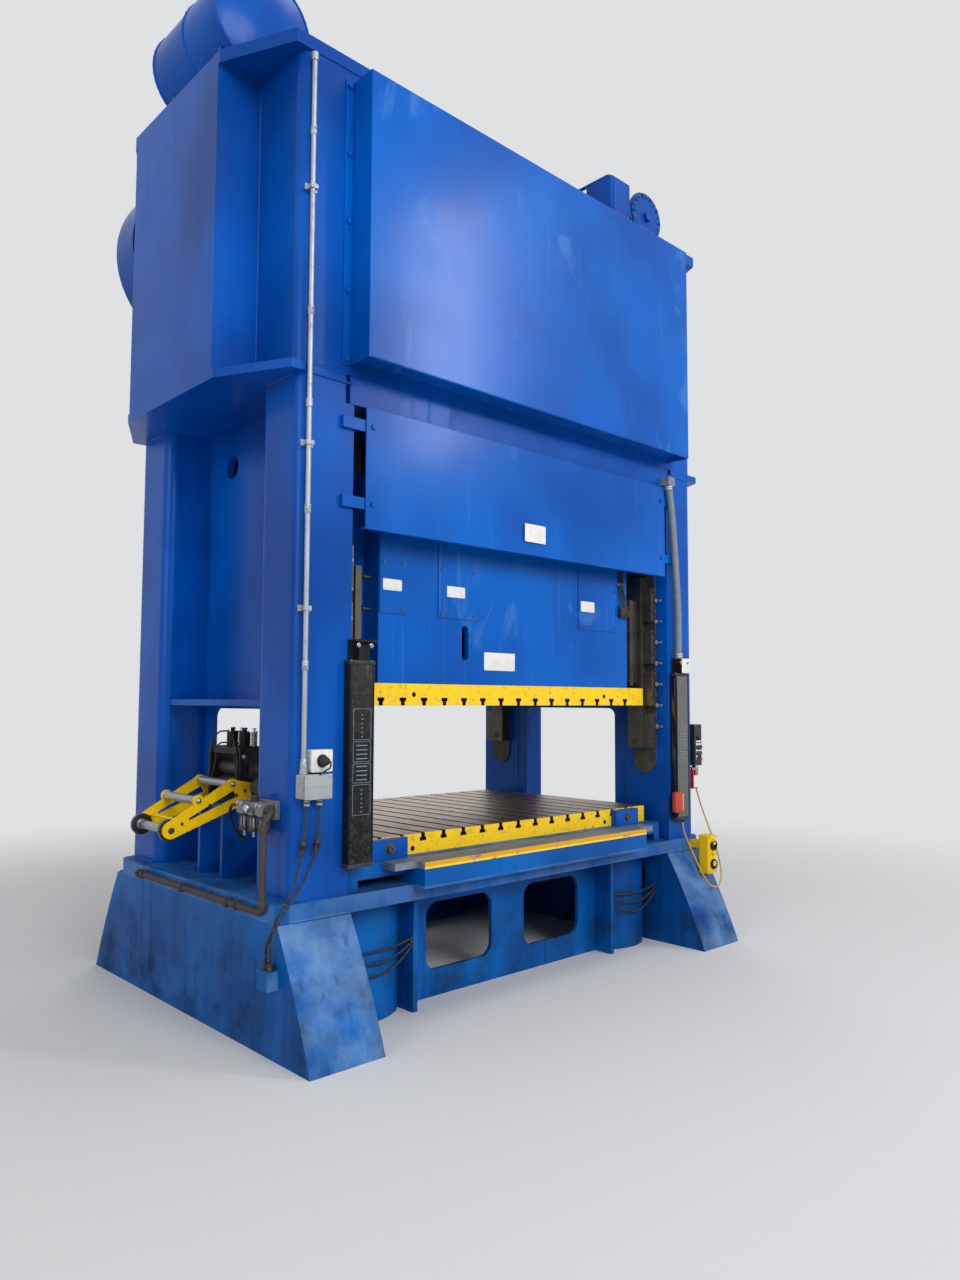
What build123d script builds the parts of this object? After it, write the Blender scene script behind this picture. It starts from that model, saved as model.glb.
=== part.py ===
from build123d import *
import os
from math import acos, cos, pi, radians, sin, tan

os.makedirs("parts", exist_ok=True)

# Straight-sided double crank press. X to the right along the front, Y to the back, Z up.
# The origin is on the floor under the middle of the die space. All sizes are in millimetres.

# Die space and T-slots
table_length = 2550.0
table_depth = 1580.0
table_top = 948.0
bolster_thickness = 110.0
daylight = 707.0
slide_plate_thickness = 122.0
slot_pitch = 152.4
slot_count = 15
slot_neck = 27.0
slot_head = 46.0
slot_head_height = 19.0
slot_depth = 44.0
lift_hole_diameter = 28.0
lift_hole_x = 836.0
lift_hole_depth = 60.0
clamp_x = 1028.0
clamp_length = 244.0
clamp_depth = 44.0
clamp_height = 104.0

# Bed
bed_overhang = 80.0
bed_flange_top = 710.0
bed_flange_thickness = 85.0
bed_flange_front = 945.0
bed_flange_corner = 110.0
bed_opening_length = 2200.0
bed_opening_depth = 1160.0
deck_opening_length = 1600.0
deck_opening_depth = 760.0
foot_set_in = 20.0
foot_shoulder = 930.0
foot_waist_y = 1038.0
foot_waist_z = 430.0
foot_toe = 1231.0
foot_wall = 32.0
foot_hole_height = 166.0
foot_hole_width = 84.0
foot_hole_y = 700.0
foot_hole_z = 426.0
deck_thickness = 78.0
deck_overhang = 55.0
deck_half_depth = 880.0
spacer_thickness = 60.0
apron_half_length = 960.0
apron_front = 1045.0
apron_bottom = 700.0
ledge_thickness = 36.0
ledge_tongue_length = 1110.0
ledge_tongue_front = 985.0
rib_x = 850.0
rib_thickness = 32.0
rib_front = 840.0
bed_wall_y = 700.0
bed_wall_thickness = 25.0
bed_wall_bulge = 115.0
scrap_door_width = 520.0
scrap_door_height = 380.0
scrap_door_x = 400.0
scrap_door_bottom = 150.0
scrap_door_corner = 80.0

# Uprights
upright_gap = 95.0
upright_width = 320.0
upright_front = 935.0
upright_top = 3316.0
leg_depth = 385.0
leg_wall = 40.0
leg_corner = 65.0
web_thickness = 32.0
window_half_width = 455.0
window_bottom = 885.0
window_top = 1632.0
window_corner = 60.0
shelf_top = 1685.0
shelf_thickness = 35.0
shelf_set_back = 45.0
doubler_thickness = 12.0
doubler_top = 3161.0
doubler_half_width = 505.0
web_hole_diameter = 140.0
web_hole_y = 251.0
web_hole_z = 3090.0
gib_pad_thickness = 12.0
gib_pad_width = 200.0
gib_pad_bottom = 1172.0
gib_pad_top = 2640.0

# Crown
crown_base_thickness = 46.0
crown_top_thickness = 70.0
crown_top = 5060.0
crown_front = 940.0
crown_wall = 45.0
crown_plate_overhang = 49.0
post_overhang = 10.0
post_corner = 70.0
wing_reach = 255.0
wing_half_depth = 508.0
wing_plate_half_depth = 524.0
crown_recess_margin = 20.0
crown_recess = 35.0
top_recess = 5.0
bearing_boss_radius = 200.0
bearing_boss_length = 120.0
bush_wall = 28.0

# Front covers
gear_cover_lap = 35.0
gear_cover_bottom = 3410.0
gear_cover_top = 4926.0
gear_cover_front = 1112.0
gear_cover_sheet = 8.0
gear_cover_flange = 46.0
gear_cover_bolt_pitch = 366.0
cover_bolt_radius = 17.0
cover_bolt_head = 13.0
front_plate_inset = 10.0
front_plate_bottom = 3212.0
front_plate_top = 3360.0
guard_end_gap = 60.0
guard_bar_inset = 90.0
guard_bar_lap = 80.0
guard_low_bar = 130.0
guard_high_bar = 100.0
guard_bolt_inset = 45.0
guard_bolt_radius = 15.0
guard_bolt_head = 10.0
guard_bottom = 2568.0
guard_top = 3208.0
guard_sheet = 8.0
guard_standoff = 22.0
guard_lip = 40.0
guard_bar_height = 60.0

# Cranks, gears and connecting rods
stroke = 254.0
gear_module = 20.0
gear_teeth = 61
pinion_teeth = 16
gear_backlash = 1.6
pressure_angle = 20.0
gear_width = 110.0
gear_back = 975.0
gear_rim = 62.0
gear_web = 46.0
gear_hub_radius = 175.0
gear_hole_count = 6
gear_hole_radius = 85.0
crank_height = 4168.0
drive_angle = 140.0
crank_journal_radius = 110.0
crank_nose_radius = 95.0
crank_pin_radius = 120.0
crank_cheek_radius = 165.0
crank_cheek_thickness = 90.0
rod_width = 150.0
rod_side_play = 3.0
rod_eye_radius = 190.0
rod_length = 1500.0
rod_shank_width = 150.0
rod_shank_depth = 110.0
rod_ball_radius = 85.0
running_clearance = 0.05
rod_swing_clearance = 40.0

# Slide
slide_top = 2950.0
slide_wall = 36.0
slide_top_thickness = 50.0
slide_notch_length = 185.0
slide_notch_y = 650.0
slide_rib_x = 250.0
screw_radius = 75.0
screw_gap = 32.0
screw_bottom = 1900.0
screw_nut_radius = 150.0
screw_nut_top = 2260.0
screw_wheel_radius = 120.0
adjustment = 50.0
screw_hexagon_drop = 90.0
screw_hexagon_height = 60.0
screw_hexagon_lap = 15.0
cover_thickness = 6.0
cover_bottom = 2160.0
cover_top = 2720.0
cover_spans = ((-1085.0, -904.0), (-665.0, -367.0), (567.0, 967.0))
pin_slot_x = -451.0
pin_slot_z = 2021.0
pin_slot_width = 54.0
pin_slot_length = 205.0

# Gibs
gib_rail_thickness = 76.0
gib_rail_back = 650.0
gib_rail_front = 770.0
gib_rail_bottom = 1354.0
gib_rail_top = 2580.0
gib_bracket_thickness = 58.0
gib_bracket_front = 850.0
gib_play = 0.3
gib_bar_bottom = 1816.0
gib_bar_top = 2408.0
gib_bar_end_gap = 13.0
gib_bar_depth = 60.0
gib_shoe_length = 110.0
gib_shoe_depth = 80.0
gib_strip_gap = 12.0
gib_strip_width = 38.0
gib_strip_thickness = 22.0
gib_strip_drop = 20.0
gib_bolt_radius = 17.0
gib_bolt_sink = 12.0
gib_bolt_gap = 6.0
gib_bolt_bottom = 1400.0
gib_bolt_pitch = 280.0
gib_bolt_count = 5
adjust_bolt_radius = 18.0
adjust_bolt_head = 14.0
adjust_bolt_bottom = 1430.0
adjust_bolt_pitch = 150.0
adjust_bolt_count = 8
bracket_share = 1.6
gib_pad_middle = 740.0

# Tie rods
tie_rod_offset = 30.0
tie_rod_y = 660.0
tie_rod_radius = 60.0
tie_rod_clearance = 5.0
tie_nut_radius = 105.0
tie_nut_height = 120.0
tie_rod_tail = 40.0

# Flywheel drive at the back of the crown
drive_shaft_radius = 75.0
flywheel_radius = 540.0
flywheel_width = 150.0
flywheel_front = 965.0
flywheel_rim = 90.0
flywheel_web = 50.0
flywheel_hub_radius = 150.0
flywheel_spokes = 6
flywheel_hole_radius = 95.0
clutch_radius = 230.0
clutch_width = 70.0
clutch_gap = 4.0
motor_x = -330.0
motor_z = 5329.0
motor_radius = 205.0
motor_length = 560.0
motor_front = 330.0
motor_fin_count = 18
motor_fin_height = 12.0
motor_shaft_radius = 35.0
motor_foot_height = 40.0
motor_foot_reach = 90.0
motor_foot_lap = 30.0
motor_foot_end = 70.0
motor_foot_rise = 75.0
motor_base_lap = 60.0
motor_base_end = 30.0
motor_corner = 30.0
motor_fin_thickness = 8.0
terminal_sink = 25.0
terminal_reach = 85.0
terminal_front = 170.0
terminal_length = 180.0
terminal_low = 70.0
terminal_high = 90.0
pulley_radius = 130.0
belt_count = 4
belt_width = 17.0
belt_pitch = 25.0
belt_thickness = 11.0
belt_gap = 0.3
drive_guard_margin = 50.0
drive_guard_sheet = 6.0
drive_guard_front = 945.0
drive_guard_back = 1215.0
drive_guard_foot = 70.0
drive_guard_foot_gap = 10.0
drive_guard_foot_lap = 30.0
drive_guard_foot_angles = (250.0, 300.0)

# Counterbalance
balance_inset = 125.0
balance_rod_radius = 40.0
balance_cylinder_radius = 130.0
balance_cylinder_wall = 28.0
balance_cylinder_top = 3960.0
balance_piston_height = 60.0
balance_piston_bottom = 3720.0
balance_flange_lap = 35.0
balance_flange_thickness = 30.0
balance_foot_lap = 30.0
balance_foot_thickness = 25.0
surge_tank_inset = 13.0
surge_tank_z = 5375.0
surge_tank_radius = 290.0
surge_tank_front = -490.0
surge_tank_back = 250.0
surge_tank_dome = 55.0
surge_tank_wall = 12.0
surge_port_radius = 34.0
surge_boss_radius = 45.0
surge_port_rise = 30.0
surge_port_sink = 40.0
surge_bore_depth = 90.0
dome_depth_share = 0.74
dome_height_share = 0.58
saddle_inset = 90.0
saddle_thickness = 30.0
saddle_width = 420.0
saddle_height = 112.0
pump_drum_inset = 270.0
pump_drum_z = 5250.0
pump_drum_radius = 172.0
pump_drum_front = -845.0
pump_drum_length = 215.0
pump_drum_wall = 14.0
pump_flange_thickness = 22.0
pump_drum_corner = 20.0
pump_hub_radius = 38.0
pump_hub_length = 25.0
pump_stand_half = 110.0
pump_stand_inset = 30.0
pump_bolt_count = 10
pump_bolt_radius = 11.0
pump_bolt_head = 9.0
pump_box_offset = 300.0
pump_box_width = 220.0
pump_box_depth = 240.0
pump_box_height = 350.0
pump_box_corner = 18.0
pump_lid_thickness = 6.0
pump_lid_bottom = 60.0
oil_pipe_offset = 50.0
oil_pipe_rise = 120.0
oil_pipe_run = 420.0
oil_pipe_bend = 50.0

# Things fixed to the front of the uprights
curtain_width = 150.0
curtain_depth = 55.0
curtain_top = 1885.0
curtain_bottom = 850.0
curtain_left_inset = 35.0
curtain_right_offset = 100.0
curtain_bracket_height = 105.0
curtain_corner = 8.0
curtain_groove_half = 18.0
curtain_groove_depth = 6.0
curtain_groove_inset = 40.0
bracket_reach = 55.0
bracket_plate = 12.0
bracket_lip = 18.0
hook_half = 22.0
hook_drop = 30.0
conduit_radius = 13.0
conduit_left_inset = 35.0
conduit_left_top = 4940.0
conduit_joint_z = 3130.0
conduit_end_gap = 20.0
conduit_sleeve_lap = 5.0
conduit_sleeve_length = 40.0
conduit_box_gap = 12.0
conduit_clamp_heights = (2130.0, 2950.0, 4257.0)
clamp_strap_half = 34.0
clamp_strap_height = 30.0
clamp_strap_thickness = 8.0
clamp_saddle_half = 20.0
clamp_saddle_height = 22.0
conduit_standoff = 24.0
conduit_right_radius = 24.0
conduit_right_offset = 72.0
hose_gap = 0.2
hose_straight = 300.0
hose_lean = 30.0
hose_lean_z = 2692.0
hose_end_offset = 105.0
hose_end_rise = 20.0
hose_end_slope = 0.25
hose_block_width = 78.0
hose_block_rise = 10.0
hose_block_height = 60.0
hose_block_lap = 6.0
box_inset = 85.0
box_bottom = 1209.0
box_top = 1325.0
box_width = 153.0
box_depth = 70.0
box_corner = 8.0
box_lid_margin = 8.0
box_lid_thickness = 8.0
box_gland_spread = 36.0
box_gland_radius = 15.0
box_gland_length = 34.0
outlet_inset = 124.0
outlet_bottom = 1334.0
outlet_top = 1442.0
outlet_width = 123.0
outlet_depth = 45.0
outlet_port_spread = 30.0
outlet_port_radius = 22.0
outlet_port_rise = 6.0
strip_offset = 20.0
strip_width = 104.0
strip_bottom = 909.0
strip_top = 1050.0
strip_depth = 25.0
strip_corner = 10.0
control_width = 92.0
control_depth = 130.0
control_y = -880.0
control_bottom = 1217.0
control_top = 1516.0
control_corner = 10.0
control_button_rises = (60.0, 130.0, 200.0)
control_button_radius = 16.0
control_button_height = 14.0
lockout_bottom = 1048.0
lockout_top = 1180.0
lockout_width = 70.0
lockout_depth = 90.0
lockout_corner = 12.0
lockout_stem_radius = 17.0
lockout_stem_height = 22.0
hand_box_inset = 120.0
hand_box_y = -1065.0
hand_box_width = 100.0
hand_box_depth = 90.0
hand_box_bottom = 470.0
hand_box_top = 735.0
hand_box_corner = 16.0
hand_arm_left = 40.0
hand_arm_right = 5.0
hand_arm_bottom = 70.0
hand_arm_top = 15.0
hand_button_rises = (70.0, 150.0, 220.0)
hand_button_radius = 20.0
hand_button_height = 16.0

# Cords: one loop at the control unit and two from the junction box to the left foot
loop_cord_diameter = 11.0
box_cord_diameter = 12.0
gland_radius = 9.5
gland_length = 20.0
coupling_radius = 15.0
coupling_length = 74.0
coupling_reach = 52.0
coupling_ring_lap = 3.0
loop_start_inset = 1.5
loop_end_offset = 30.0
foot_box_depth = 60.0
foot_box_width = 90.0
foot_box_height = 90.0
foot_box_top = 420.0
foot_box_y = -905.0
cord_gland_pitch = 40.0

# Air service unit on the left upright
filter_standoff = 55.0
filter_y = -660.0
filter_pitch = 92.0
filter_body = 62.0
filter_bowl_radius = 27.0
filter_bottom = 1029.0
filter_head_bottom = 1120.0
filter_head_top = 1178.0
filter_collar_lap = 4.0
filter_collar_height = 14.0
filter_bowl_corner = 12.0
filter_tie_radius = 22.0
filter_plate_front = 1.6
filter_plate_back = 0.5
filter_plate_drop = 20.0
filter_plate_rise = 10.0
knob_radius = 21.0
knob_height = 34.0
knob_flute_count = 12
knob_flute_radius = 2.5
knob_flute_rise = 8.0
pipe_radius = 17.0
pipe_drop_y = -835.0
pipe_low_z = 668.0
pipe_standoff = 25.0
pipe_end_y = 587.0
pipe_bend = 28.0
pipe_knee = 60.0
pipe_clamp_pitch = 500.0
pipe_clamp_half = 14.0
pipe_clamp_lap = 5.0

# Strip feeder at the left window
feed_line = 1252.0
feed_roll_radius = 45.0
feed_roll_length = 300.0
feed_roll_shaft = 20.0
feed_offset = 108.0
feeder_side_thickness = 32.0
feeder_half_length = 88.0
feeder_top = 1420.0
feeder_table_top = 1120.0
feeder_table_thickness = 30.0
feeder_table_inset = 30.0
feeder_stand_offset = 50.0
feeder_half_width = 181.7
feeder_leg_y = 130.0
feeder_leg_half = 13.0
feeder_leg_inset = 20.0
feeder_beam_depth = 36.0
feeder_base_depth = 20.0
lift_cylinder_y = 70.0
lift_cylinder_radius = 32.0
lift_cylinder_height = 80.0
lift_rod_radius = 12.0
lift_rod_height = 105.0
roll_gap = 2.0
roll_end_gap = 2.0
roll_wheel_width = 22.0
roll_wheel_step = 5.0
roll_drive_end = 50.0
roll_plain_end = 6.0
arm_thickness = 14.0
arm_y = 182.0
arm_root_offset = 38.0
support_roll_radius = 23.0
support_roll_shaft = 9.0
low_roll_reach = 482.0
low_roll_z = 1007.0
low_flange_radius = 57.0
low_flange_width = 16.0
mid_roll_reach = 334.0
mid_roll_z = 1150.0
top_roll_reach = 137.0
top_roll_z = 1225.0
arm_low_radius = 44.0
arm_top_radius = 26.0
arm_boss_radius = 30.0
arm_root_radius = 14.0
arm_root_heights = (1215.0, 1136.0)
arm_slot_low = (105.0, 52.0)
arm_slot_top = (5.0, -45.0)
arm_slot_root_offset = 80.0
arm_slot_root_z = 1160.0
arm_slot_radii = (7.0, 9.0, 8.0)
arm_stay = (55.0, 45.0)
arm_stay_radius = 8.0
roller_end_gap = 6.0
roller_shaft_reach = 4.0
flange_end_gap = 7.0


def at_y(y):
    """A sketch plane across the press at this Y: its x is X, its y is Z, and it extrudes to the front."""
    return Plane.XZ.offset(-y)


def box_between(low, high, mode=Mode.ADD):
    """A box from its lowest to its highest corner, joined to the part being built."""
    with Locations([tuple((a + b) / 2 for a, b in zip(low, high))]):
        Box(high[0] - low[0], high[1] - low[1], high[2] - low[2], mode=mode)


def rod_along_y(x, z, radius, front, back, mode=Mode.ADD):
    """A round bar with its axis front to back, from Y = front to Y = back."""
    with Locations((x, (front + back) / 2, z)):
        Cylinder(radius, back - front, rotation=(90, 0, 0), mode=mode)


def upright_bar(x, y, radius, low, high, mode=Mode.ADD):
    """A round bar with its axis up, from Z = low to Z = high."""
    with Locations((x, y, (low + high) / 2)):
        Cylinder(radius, high - low, mode=mode)


def involute_outline(teeth, module, phase):
    """Corner points of a spur gear: three points of the involute on each flank, tooth one at phase."""
    pitch = module * teeth / 2
    base = pitch * cos(radians(pressure_angle))
    root = pitch - 1.25 * module
    tip = pitch + module
    half_tooth = pi / 2 / teeth - gear_backlash / 4 / pitch
    rolled = tan(radians(pressure_angle)) - radians(pressure_angle)

    def half_angle(radius):
        angle = acos(min(1.0, base / max(radius, base)))
        return half_tooth + rolled - (tan(angle) - angle)

    points = []
    for tooth in range(teeth):
        middle = radians(phase) + 2 * pi * tooth / teeth
        for radius, side in ((root, -1), (pitch, -1), (tip, -1), (tip, 1), (pitch, 1), (root, 1)):
            angle = middle + side * half_angle(radius)
            points.append((radius * cos(angle), radius * sin(angle)))
    return points


# Places that follow from the sizes above
table_half = table_length / 2
upright_inner = table_half + upright_gap
upright_outer = upright_inner + upright_width
bed_half_length = upright_outer + bed_overhang
foot_inner = upright_inner - foot_set_in
deck_half_length = table_half + deck_overhang
shelf_reach = upright_outer - shelf_set_back
post_half_length = upright_outer + post_overhang
crown_corner_x = post_half_length + crown_plate_overhang
wing_half_length = post_half_length + wing_reach
gear_cover_half_length = upright_inner + gear_cover_lap
crown_recess_half_length = gear_cover_half_length + crown_recess_margin
front_plate_half_length = gear_cover_half_length - front_plate_inset
guard_half_length = upright_inner - guard_end_gap
slide_notch_x = table_half - slide_notch_length
gib_pad_face = upright_inner - gib_pad_thickness
gib_rail_inner = gib_pad_face - gib_rail_thickness
gib_bracket_inner = gib_pad_face - gib_bracket_thickness
gib_bar_reach = gib_pad_face - gib_bar_end_gap
gib_shoe_inner = table_half - gib_shoe_length
tie_rod_x = (upright_inner + upright_outer) / 2 + tie_rod_offset
balance_x = table_half - balance_inset
surge_tank_x = surge_tank_inset - post_half_length
pump_drum_x = tie_rod_x - pump_drum_inset
pump_box_x = pump_drum_x - pump_box_offset
curtain_left_x = curtain_left_inset - upright_inner
curtain_right_x = upright_inner + curtain_right_offset
conduit_left_x = conduit_left_inset - upright_outer
conduit_right_x = upright_inner + conduit_right_offset
box_left_x = box_inset - upright_outer
outlet_x = outlet_inset - upright_outer
strip_x = upright_inner + strip_offset
control_x = upright_outer + control_width / 2
hand_box_x = bed_half_length - hand_box_inset
filter_x = -upright_outer - filter_standoff
pipe_x = -bed_half_length - pipe_standoff
feed_x = -upright_inner - feed_offset
feeder_table_out = upright_outer - feeder_table_inset
feeder_stand_inner = upright_inner + feeder_stand_offset
arm_root_x = feed_x - arm_root_offset
low_roll_x = feed_x - low_roll_reach
mid_roll_x = feed_x - mid_roll_reach
top_roll_x = feed_x - top_roll_reach
feed_roll_rise = feed_roll_radius + roll_gap / 2
table_front = table_depth / 2
bolster_bottom = table_top - bolster_thickness
slide_bottom = table_top + daylight
slide_base = slide_bottom + slide_plate_thickness
crank_x = gear_module * gear_teeth / 2
throw = stroke / 2
pin_height = crank_height + throw
gear_front = gear_back + gear_width
main_radius = gear_module * gear_teeth / 2
pinion_radius = gear_module * pinion_teeth / 2
drive_x = -crank_x + (main_radius + pinion_radius) * cos(radians(drive_angle))
drive_z = crank_height + (main_radius + pinion_radius) * sin(radians(drive_angle))
leg_back = upright_front - leg_depth
ball_z = pin_height - rod_length
screw_top = ball_z - rod_ball_radius - screw_gap
flywheel_back = flywheel_front + flywheel_width
belt_middle = (flywheel_front + flywheel_back) / 2
loop_start = (upright_outer + control_width - gland_radius - loop_start_inset, control_y,
              control_bottom - gland_length)
loop_end = (curtain_right_x + loop_end_offset, -upright_front - curtain_depth / 2,
            curtain_bottom - gland_length)


# Bed: two hollow feet, a flange under the uprights, a deck, ribs and walls
with BuildPart() as bed:
    with BuildSketch(Plane.XY.offset(bed_flange_top - bed_flange_thickness)):
        RectangleRounded(2 * bed_half_length, 2 * bed_flange_front, bed_flange_corner)
        Rectangle(bed_opening_length, bed_opening_depth, mode=Mode.SUBTRACT)
    extrude(amount=bed_flange_thickness)
    with BuildSketch(Plane.YZ.offset(foot_inner)):
        with BuildLine():
            Line((foot_shoulder, bed_flange_top - bed_flange_thickness),
                 (-foot_shoulder, bed_flange_top - bed_flange_thickness))
            ThreePointArc((-foot_shoulder, bed_flange_top - bed_flange_thickness),
                          (-foot_waist_y, foot_waist_z), (-foot_toe, 0))
            Line((-foot_toe, 0), (foot_toe, 0))
            ThreePointArc((foot_toe, 0), (foot_waist_y, foot_waist_z),
                          (foot_shoulder, bed_flange_top - bed_flange_thickness))
        make_face()
    extrude(amount=bed_half_length - foot_inner)
    with BuildSketch(Plane.YZ.offset(foot_inner + foot_wall)):
        with BuildLine():
            foot_roof = bed_flange_top - bed_flange_thickness - foot_wall
            Polyline((foot_shoulder - foot_wall, foot_roof), (-foot_shoulder + foot_wall, foot_roof),
                     (-foot_waist_y + 2 * foot_wall, foot_waist_z - foot_wall),
                     (-foot_toe + 3 * foot_wall, foot_wall), (foot_toe - 3 * foot_wall, foot_wall),
                     (foot_waist_y - 2 * foot_wall, foot_waist_z - foot_wall), close=True)
        make_face()
    extrude(amount=bed_half_length - foot_inner - 2 * foot_wall, mode=Mode.SUBTRACT)
    with BuildSketch(Plane.YZ.offset(foot_inner - 1)):
        with Locations((-foot_hole_y, foot_hole_z), (foot_hole_y, foot_hole_z)):
            SlotOverall(foot_hole_height, foot_hole_width, rotation=90)
    extrude(amount=foot_wall + 2, mode=Mode.SUBTRACT)
    with Locations((tie_rod_x, tie_rod_y, 0), (tie_rod_x, -tie_rod_y, 0)):
        with Locations((0, 0, bed_flange_top)):
            Hole(tie_rod_radius + tie_rod_clearance, depth=bed_flange_thickness + foot_wall + 10)
    split(bisect_by=Plane.YZ, keep=Keep.TOP)
    mirror(about=Plane.YZ)
    # Deck under the bolster, open in the middle
    with BuildSketch(Plane.XY.offset(bolster_bottom - deck_thickness)):
        Rectangle(2 * deck_half_length, 2 * deck_half_depth)
        Rectangle(deck_opening_length, deck_opening_depth, mode=Mode.SUBTRACT)
    extrude(amount=deck_thickness)
    for side in (-1, 1):
        # Spacer walls between the flange and the deck, then the apron in front
        spacer = sorted((side * deck_half_length, side * (deck_half_length - spacer_thickness)))
        box_between((spacer[0], -deck_half_depth, bed_flange_top - 5),
                    (spacer[1], deck_half_depth, bolster_bottom - deck_thickness + 5))
        apron = sorted((side * apron_front, side * (deck_half_depth - 60)))
        box_between((-apron_half_length, apron[0], apron_bottom),
                    (apron_half_length, apron[1], bolster_bottom - ledge_thickness))
        # Ribs to the floor
        for x in (-rib_x, rib_x):
            rib = sorted((side * (bed_wall_y - 2), side * rib_front))
            box_between((x - rib_thickness / 2, rib[0], 0),
                        (x + rib_thickness / 2, rib[1], apron_bottom + 5))
        # Bulged walls in the outer bays, a flat wall with doors in the middle bay
        for end in (-1, 1):
            near = end * (rib_x + rib_thickness / 2 - 5)
            far = end * (foot_inner + 5)
            middle = (near + far) / 2
            with BuildSketch(Plane.XY):
                with BuildLine():
                    ThreePointArc((near, side * bed_wall_y), (middle, side * (bed_wall_y + bed_wall_bulge)),
                                  (far, side * bed_wall_y))
                    Line((far, side * bed_wall_y), (far, side * (bed_wall_y - bed_wall_thickness)))
                    ThreePointArc((far, side * (bed_wall_y - bed_wall_thickness)),
                                  (middle, side * (bed_wall_y - bed_wall_thickness + bed_wall_bulge)),
                                  (near, side * (bed_wall_y - bed_wall_thickness)))
                    Line((near, side * (bed_wall_y - bed_wall_thickness)), (near, side * bed_wall_y))
                make_face()
            extrude(amount=bed_flange_top - bed_flange_thickness + 5)
        wall = sorted((side * bed_wall_y, side * (bed_wall_y - bed_wall_thickness)))
        box_between((-rib_x - 5, wall[0], 0), (rib_x + 5, wall[1], apron_bottom + 5))
        with BuildSketch(at_y(wall[1] + 1)):
            with Locations((-scrap_door_x, scrap_door_bottom + scrap_door_height / 2),
                           (scrap_door_x, scrap_door_bottom + scrap_door_height / 2)):
                RectangleRounded(scrap_door_width, scrap_door_height, scrap_door_corner)
        extrude(amount=bed_wall_thickness + 2, mode=Mode.SUBTRACT)
    # Cable box on the left foot, with a gland for each cord
    box_between((-bed_half_length - foot_box_depth, foot_box_y - foot_box_width / 2,
                 foot_box_top - foot_box_height),
                (-bed_half_length, foot_box_y + foot_box_width / 2, foot_box_top))
    for y in (foot_box_y - cord_gland_pitch / 2, foot_box_y + cord_gland_pitch / 2):
        upright_bar(-bed_half_length - foot_box_depth / 2, y, gland_radius, foot_box_top - 1,
                    foot_box_top + gland_length)
bed.part.label = "bed"
export_step(bed.part, "parts/bed.step")

# Worn ledge plates on the front and back of the bed
with BuildPart() as bed_ledge:
    for side in (-1, 1):
        with BuildSketch(Plane.XY.offset(bolster_bottom - ledge_thickness)):
            with BuildLine():
                Polyline((-ledge_tongue_length, side * deck_half_depth),
                         (-ledge_tongue_length, side * ledge_tongue_front),
                         (-apron_half_length, side * ledge_tongue_front),
                         (-apron_half_length, side * apron_front), (apron_half_length, side * apron_front),
                         (apron_half_length, side * ledge_tongue_front),
                         (ledge_tongue_length, side * ledge_tongue_front),
                         (ledge_tongue_length, side * deck_half_depth), close=True)
            make_face()
        extrude(amount=ledge_thickness)
bed_ledge.part.label = "bed_ledge"
export_step(bed_ledge.part, "parts/bed_ledge.step")

# T-slots, cut by the same sketch in the bolster and in the slide plate
slot_places = [((i - (slot_count - 1) / 2) * slot_pitch, 0) for i in range(slot_count)]

with BuildPart() as bolster:
    with BuildSketch(Plane.XY.offset(bolster_bottom)):
        Rectangle(table_length, table_depth)
    extrude(amount=bolster_thickness)
    with BuildSketch(at_y(table_front + 1)):
        with Locations((0, table_top)):
            with Locations(slot_places):
                Rectangle(slot_neck, 2 * slot_depth - slot_head_height)
                with Locations((0, -slot_depth + slot_head_height / 2)):
                    Rectangle(slot_head, slot_head_height)
    extrude(amount=table_depth + 2, mode=Mode.SUBTRACT)
    for x in (-lift_hole_x, lift_hole_x):
        rod_along_y(x, bolster_bottom + 30, lift_hole_diameter / 2, -table_front,
                    -table_front + lift_hole_depth,
                    Mode.SUBTRACT)
bolster.part.label = "bolster"
export_step(bolster.part, "parts/bolster.step")

with BuildPart() as slide_plate:
    with BuildSketch(Plane.XY.offset(slide_bottom)):
        Rectangle(table_length, table_depth)
    extrude(amount=slide_plate_thickness)
    with BuildSketch(at_y(table_front + 1)):
        with Locations((0, slide_bottom)):
            with Locations(slot_places):
                Rectangle(slot_neck, 2 * slot_depth - slot_head_height)
                with Locations((0, slot_depth - slot_head_height / 2)):
                    Rectangle(slot_head, slot_head_height)
    extrude(amount=table_depth + 2, mode=Mode.SUBTRACT)
    for x in (-lift_hole_x, lift_hole_x):
        rod_along_y(x, slide_bottom + slide_plate_thickness / 2, lift_hole_diameter / 2, -table_front,
                    -table_front + lift_hole_depth, Mode.SUBTRACT)
slide_plate.part.label = "slide_plate"
export_step(slide_plate.part, "parts/slide_plate.step")

# Painted clamp blocks in front of the bolster's ends
with BuildPart() as bolster_clamps:
    for x in (-clamp_x, clamp_x):
        box_between((x - clamp_length / 2, -table_front - clamp_depth, bolster_bottom),
                    (x + clamp_length / 2, -table_front, bolster_bottom + clamp_height))
    fillet(edges().filter_by(Axis.X).group_by(Axis.Y)[0].group_by(Axis.Z)[-1], 8)
bolster_clamps.part.label = "bolster_clamps"
export_step(bolster_clamps.part, "parts/bolster_clamps.step")

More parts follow.
